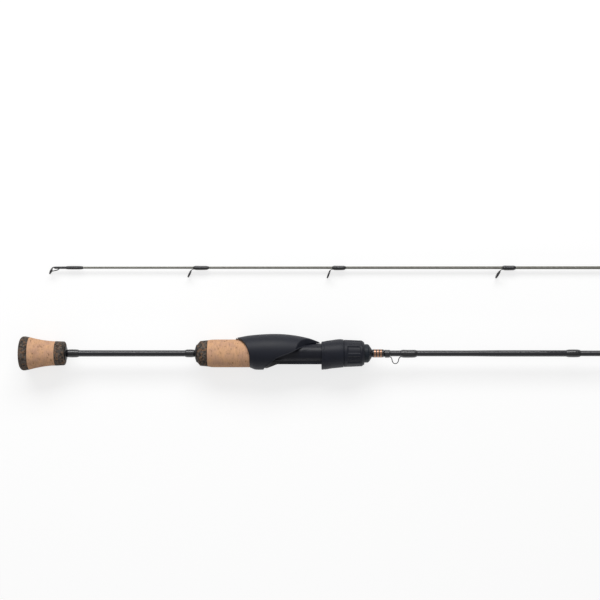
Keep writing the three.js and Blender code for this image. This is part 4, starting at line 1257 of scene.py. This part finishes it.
class ROD_OT_tip_top(bpy.types.Operator):
    """Builds the tip-top: tube, ring holder, upper leg and two struts formed as one"""
    bl_idname = "rod.tip_top"
    bl_label = "Tip-top"

    def execute(self, context):
        voxel = context.scene.rod_shapes.guide_voxel
        centre, ring_axis, across = ring_frame("tip_top_ring")
        low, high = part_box("tip_top_frame")
        y, z = TIP_AXIS
        holder_out = 2.7 * MM
        holder_in = across / 2 - 0.02 * MM
        loop = round_loop(0, (holder_out + holder_in) / 2, 0.5 * MM,
                          (holder_out - holder_in) / 2, 20, power=3.2)
        holder = ring_turned("tip_top_frame_formed", loop, centre, ring_axis)
        towards = np.cross(ring_axis, [0.0, 0.0, 1.0])
        towards *= np.sign(towards[1])
        top = centre + towards * (holder_out - 0.25 * MM)
        tube_front = top[0] + 1.8 * MM
        corners = [(tube_front, 0), (tube_front, 0.95 * MM), (high.x, 1.05 * MM), (high.x, 0)]
        tube = turned("tube", eased(corners, 0.35 * MM, False), TIP_AXIS, closed=False, facets=40)
        leg = wire("leg", smooth_path([
            tuple(top), (top[0] + 1.0 * MM, y + 0.25 * MM, z), (tube_front + 1.4 * MM, y + 0.2 * MM, z),
        ], 20), 0.48 * MM, sides=14)
        struts = []
        for side in (-1, 1):
            struts.append(wire("strut", smooth_path([
                (tube_front + 4.2 * MM, y - 0.7 * MM, z + side * 0.3 * MM),
                (tube_front + 2.3 * MM, y - 1.9 * MM, z + side * 1.2 * MM),
                tuple(centre + np.array([0.15 * MM, -0.1 * MM, side * (holder_out - 0.25 * MM)])),
            ], 24), 0.32 * MM, sides=12))
        formed(holder, joined=[tube, leg, *struts], voxel=voxel, smoothing=2)
        finish_piece(holder, frame_material(), "guide_frame", TIP, "tip_top_frame")
        build_ring("tip_top_ring_polished", "tip_top_ring", TIP)
        return {"FINISHED"}


# ------------------------------------------------------------------ stage

def white_surface(name, base, glow):
    """A pale surface that keeps shadows but shows white to the camera and in reflections."""
    material = bpy.data.materials.new(name)
    material.use_nodes = True
    nodes, links = material.node_tree.nodes, material.node_tree.links
    nodes.clear()
    output = nodes.new("ShaderNodeOutputMaterial")
    diffuse = nodes.new("ShaderNodeBsdfDiffuse")
    diffuse.inputs["Color"].default_value = (*base, 1)
    lit = nodes.new("ShaderNodeEmission")
    lit.inputs["Color"].default_value = (1, 1, 1, 1)
    path = nodes.new("ShaderNodeLightPath")
    seen = nodes.new("ShaderNodeMath")
    seen.operation = "MAXIMUM"
    links.new(path.outputs["Is Camera Ray"], seen.inputs[0])
    links.new(path.outputs["Is Glossy Ray"], seen.inputs[1])
    clear = nodes.new("ShaderNodeMath")
    clear.operation = "MAXIMUM"
    links.new(seen.outputs[0], clear.inputs[0])
    links.new(path.outputs["Is Transmission Ray"], clear.inputs[1])
    strength = nodes.new("ShaderNodeMath")
    strength.operation = "MULTIPLY"
    strength.inputs[1].default_value = glow
    links.new(clear.outputs[0], strength.inputs[0])
    links.new(strength.outputs[0], lit.inputs["Strength"])
    both = nodes.new("ShaderNodeAddShader")
    links.new(diffuse.outputs[0], both.inputs[0])
    links.new(lit.outputs[0], both.inputs[1])
    links.new(both.outputs[0], output.inputs["Surface"])
    return material


def softbox(name, place_at, aim, size, power):
    lamp = bpy.data.lights.new(name, "AREA")
    lamp.shape = "RECTANGLE"
    lamp.size, lamp.size_y = size
    lamp.energy = power
    holder = bpy.data.objects.new(name, lamp)
    holder.location = place_at
    holder.rotation_euler = (Vector(aim) - Vector(place_at)).to_track_quat("-Z", "Y").to_euler()
    bpy.context.scene.collection.objects.link(holder)


class ROD_OT_stage(bpy.types.Operator):
    """Sets up the camera, the pale floor and the soft studio light"""
    bl_idname = "rod.stage"
    bl_label = "Studio"

    def execute(self, context):
        scene = context.scene
        studio = scene.rod_studio
        middle = Vector((studio.camera_x, HANDLE_AXIS[0] + studio.above_axis, HANDLE_AXIS[1]))
        lens = bpy.data.cameras.new("camera")
        lens.sensor_width = 36
        lens.lens = lens.sensor_width * studio.camera_height / studio.frame_width
        lens.clip_start, lens.clip_end = 0.01, 20
        camera = bpy.data.objects.new("camera", lens)
        camera.location = middle + Vector((0, 0, studio.camera_height))
        scene.collection.objects.link(camera)
        scene.camera = camera

        floor_z = CAD_BOX[0][2]
        half = 6.0
        floor = new_piece("floor", [(-half, -half, floor_z), (half, -half, floor_z),
                                    (half, half, floor_z), (-half, half, floor_z)], [(0, 1, 2, 3)])
        floor.data.materials.append(white_surface("floor_white", (0.42, 0.42, 0.42), 0.72))

        softbox("key_softbox", (middle.x - 0.15, middle.y + 1.05, 0.80), (middle.x, middle.y - 0.03, 0),
                (1.5, 0.5), studio.key_power)
        softbox("top_panel", (middle.x + 0.1, middle.y - 0.1, 1.6), tuple(middle), (1.2, 1.2),
                studio.fill_power)
        softbox("low_strip", (middle.x, middle.y - 1.1, 0.35), tuple(middle), (1.6, 0.25),
                studio.low_power)

        world = bpy.data.worlds.new("studio")
        world.use_nodes = True
        nodes, links = world.node_tree.nodes, world.node_tree.links
        background = nodes["Background"]
        background.inputs["Color"].default_value = (1, 1, 1, 1)
        path = nodes.new("ShaderNodeLightPath")
        level = nodes.new("ShaderNodeMapRange")
        level.inputs["To Min"].default_value = studio.ambient
        level.inputs["To Max"].default_value = 1.0
        links.new(path.outputs["Is Camera Ray"], level.inputs["Value"])
        links.new(level.outputs["Result"], background.inputs["Strength"])
        scene.world = world
        scene.view_settings.view_transform = "Standard"
        return {"FINISHED"}


# ------------------------------------------------------------------ panel and registration

OPERATORS = (
    ROD_OT_butt_knob, ROD_OT_grip, ROD_OT_checks, ROD_OT_blanks, ROD_OT_wraps, ROD_OT_trim,
    ROD_OT_barrel, ROD_OT_seat_shell, ROD_OT_hood, ROD_OT_lock_nut, ROD_OT_inner_parts,
    ROD_OT_keeper, ROD_OT_guides, ROD_OT_tip_top, ROD_OT_stage,
)


class ROD_PT_panel(bpy.types.Panel):
    """Lists the rod's settings and the steps that build it"""
    bl_idname = "ROD_PT_panel"
    bl_label = "Ice fishing rod"
    bl_space_type = "VIEW_3D"
    bl_region_type = "UI"
    bl_category = "Ice Rod"

    def draw(self, context):
        layout = self.layout
        for group in (context.scene.rod_finishes, context.scene.rod_shapes, context.scene.rod_studio):
            column = layout.column(align=True)
            for name in group.bl_rna.properties.keys():
                if name not in ("rna_type", "name"):
                    column.prop(group, name)
        for operator in OPERATORS:
            layout.operator(operator.bl_idname)


CLASSES = (RodFinishes, RodShapes, RodStudio, *OPERATORS, ROD_PT_panel)


def register():
    for cls in CLASSES:
        bpy.utils.register_class(cls)
    bpy.types.Scene.rod_finishes = PointerProperty(type=RodFinishes)
    bpy.types.Scene.rod_shapes = PointerProperty(type=RodShapes)
    bpy.types.Scene.rod_studio = PointerProperty(type=RodStudio)


def unregister():
    del bpy.types.Scene.rod_studio
    del bpy.types.Scene.rod_shapes
    del bpy.types.Scene.rod_finishes
    for cls in reversed(CLASSES):
        bpy.utils.unregister_class(cls)


def main():
    register()
    for operator in OPERATORS:
        group, name = operator.bl_idname.split(".")
        getattr(getattr(bpy.ops, group), name)()


if __name__ == "__main__":
    main()
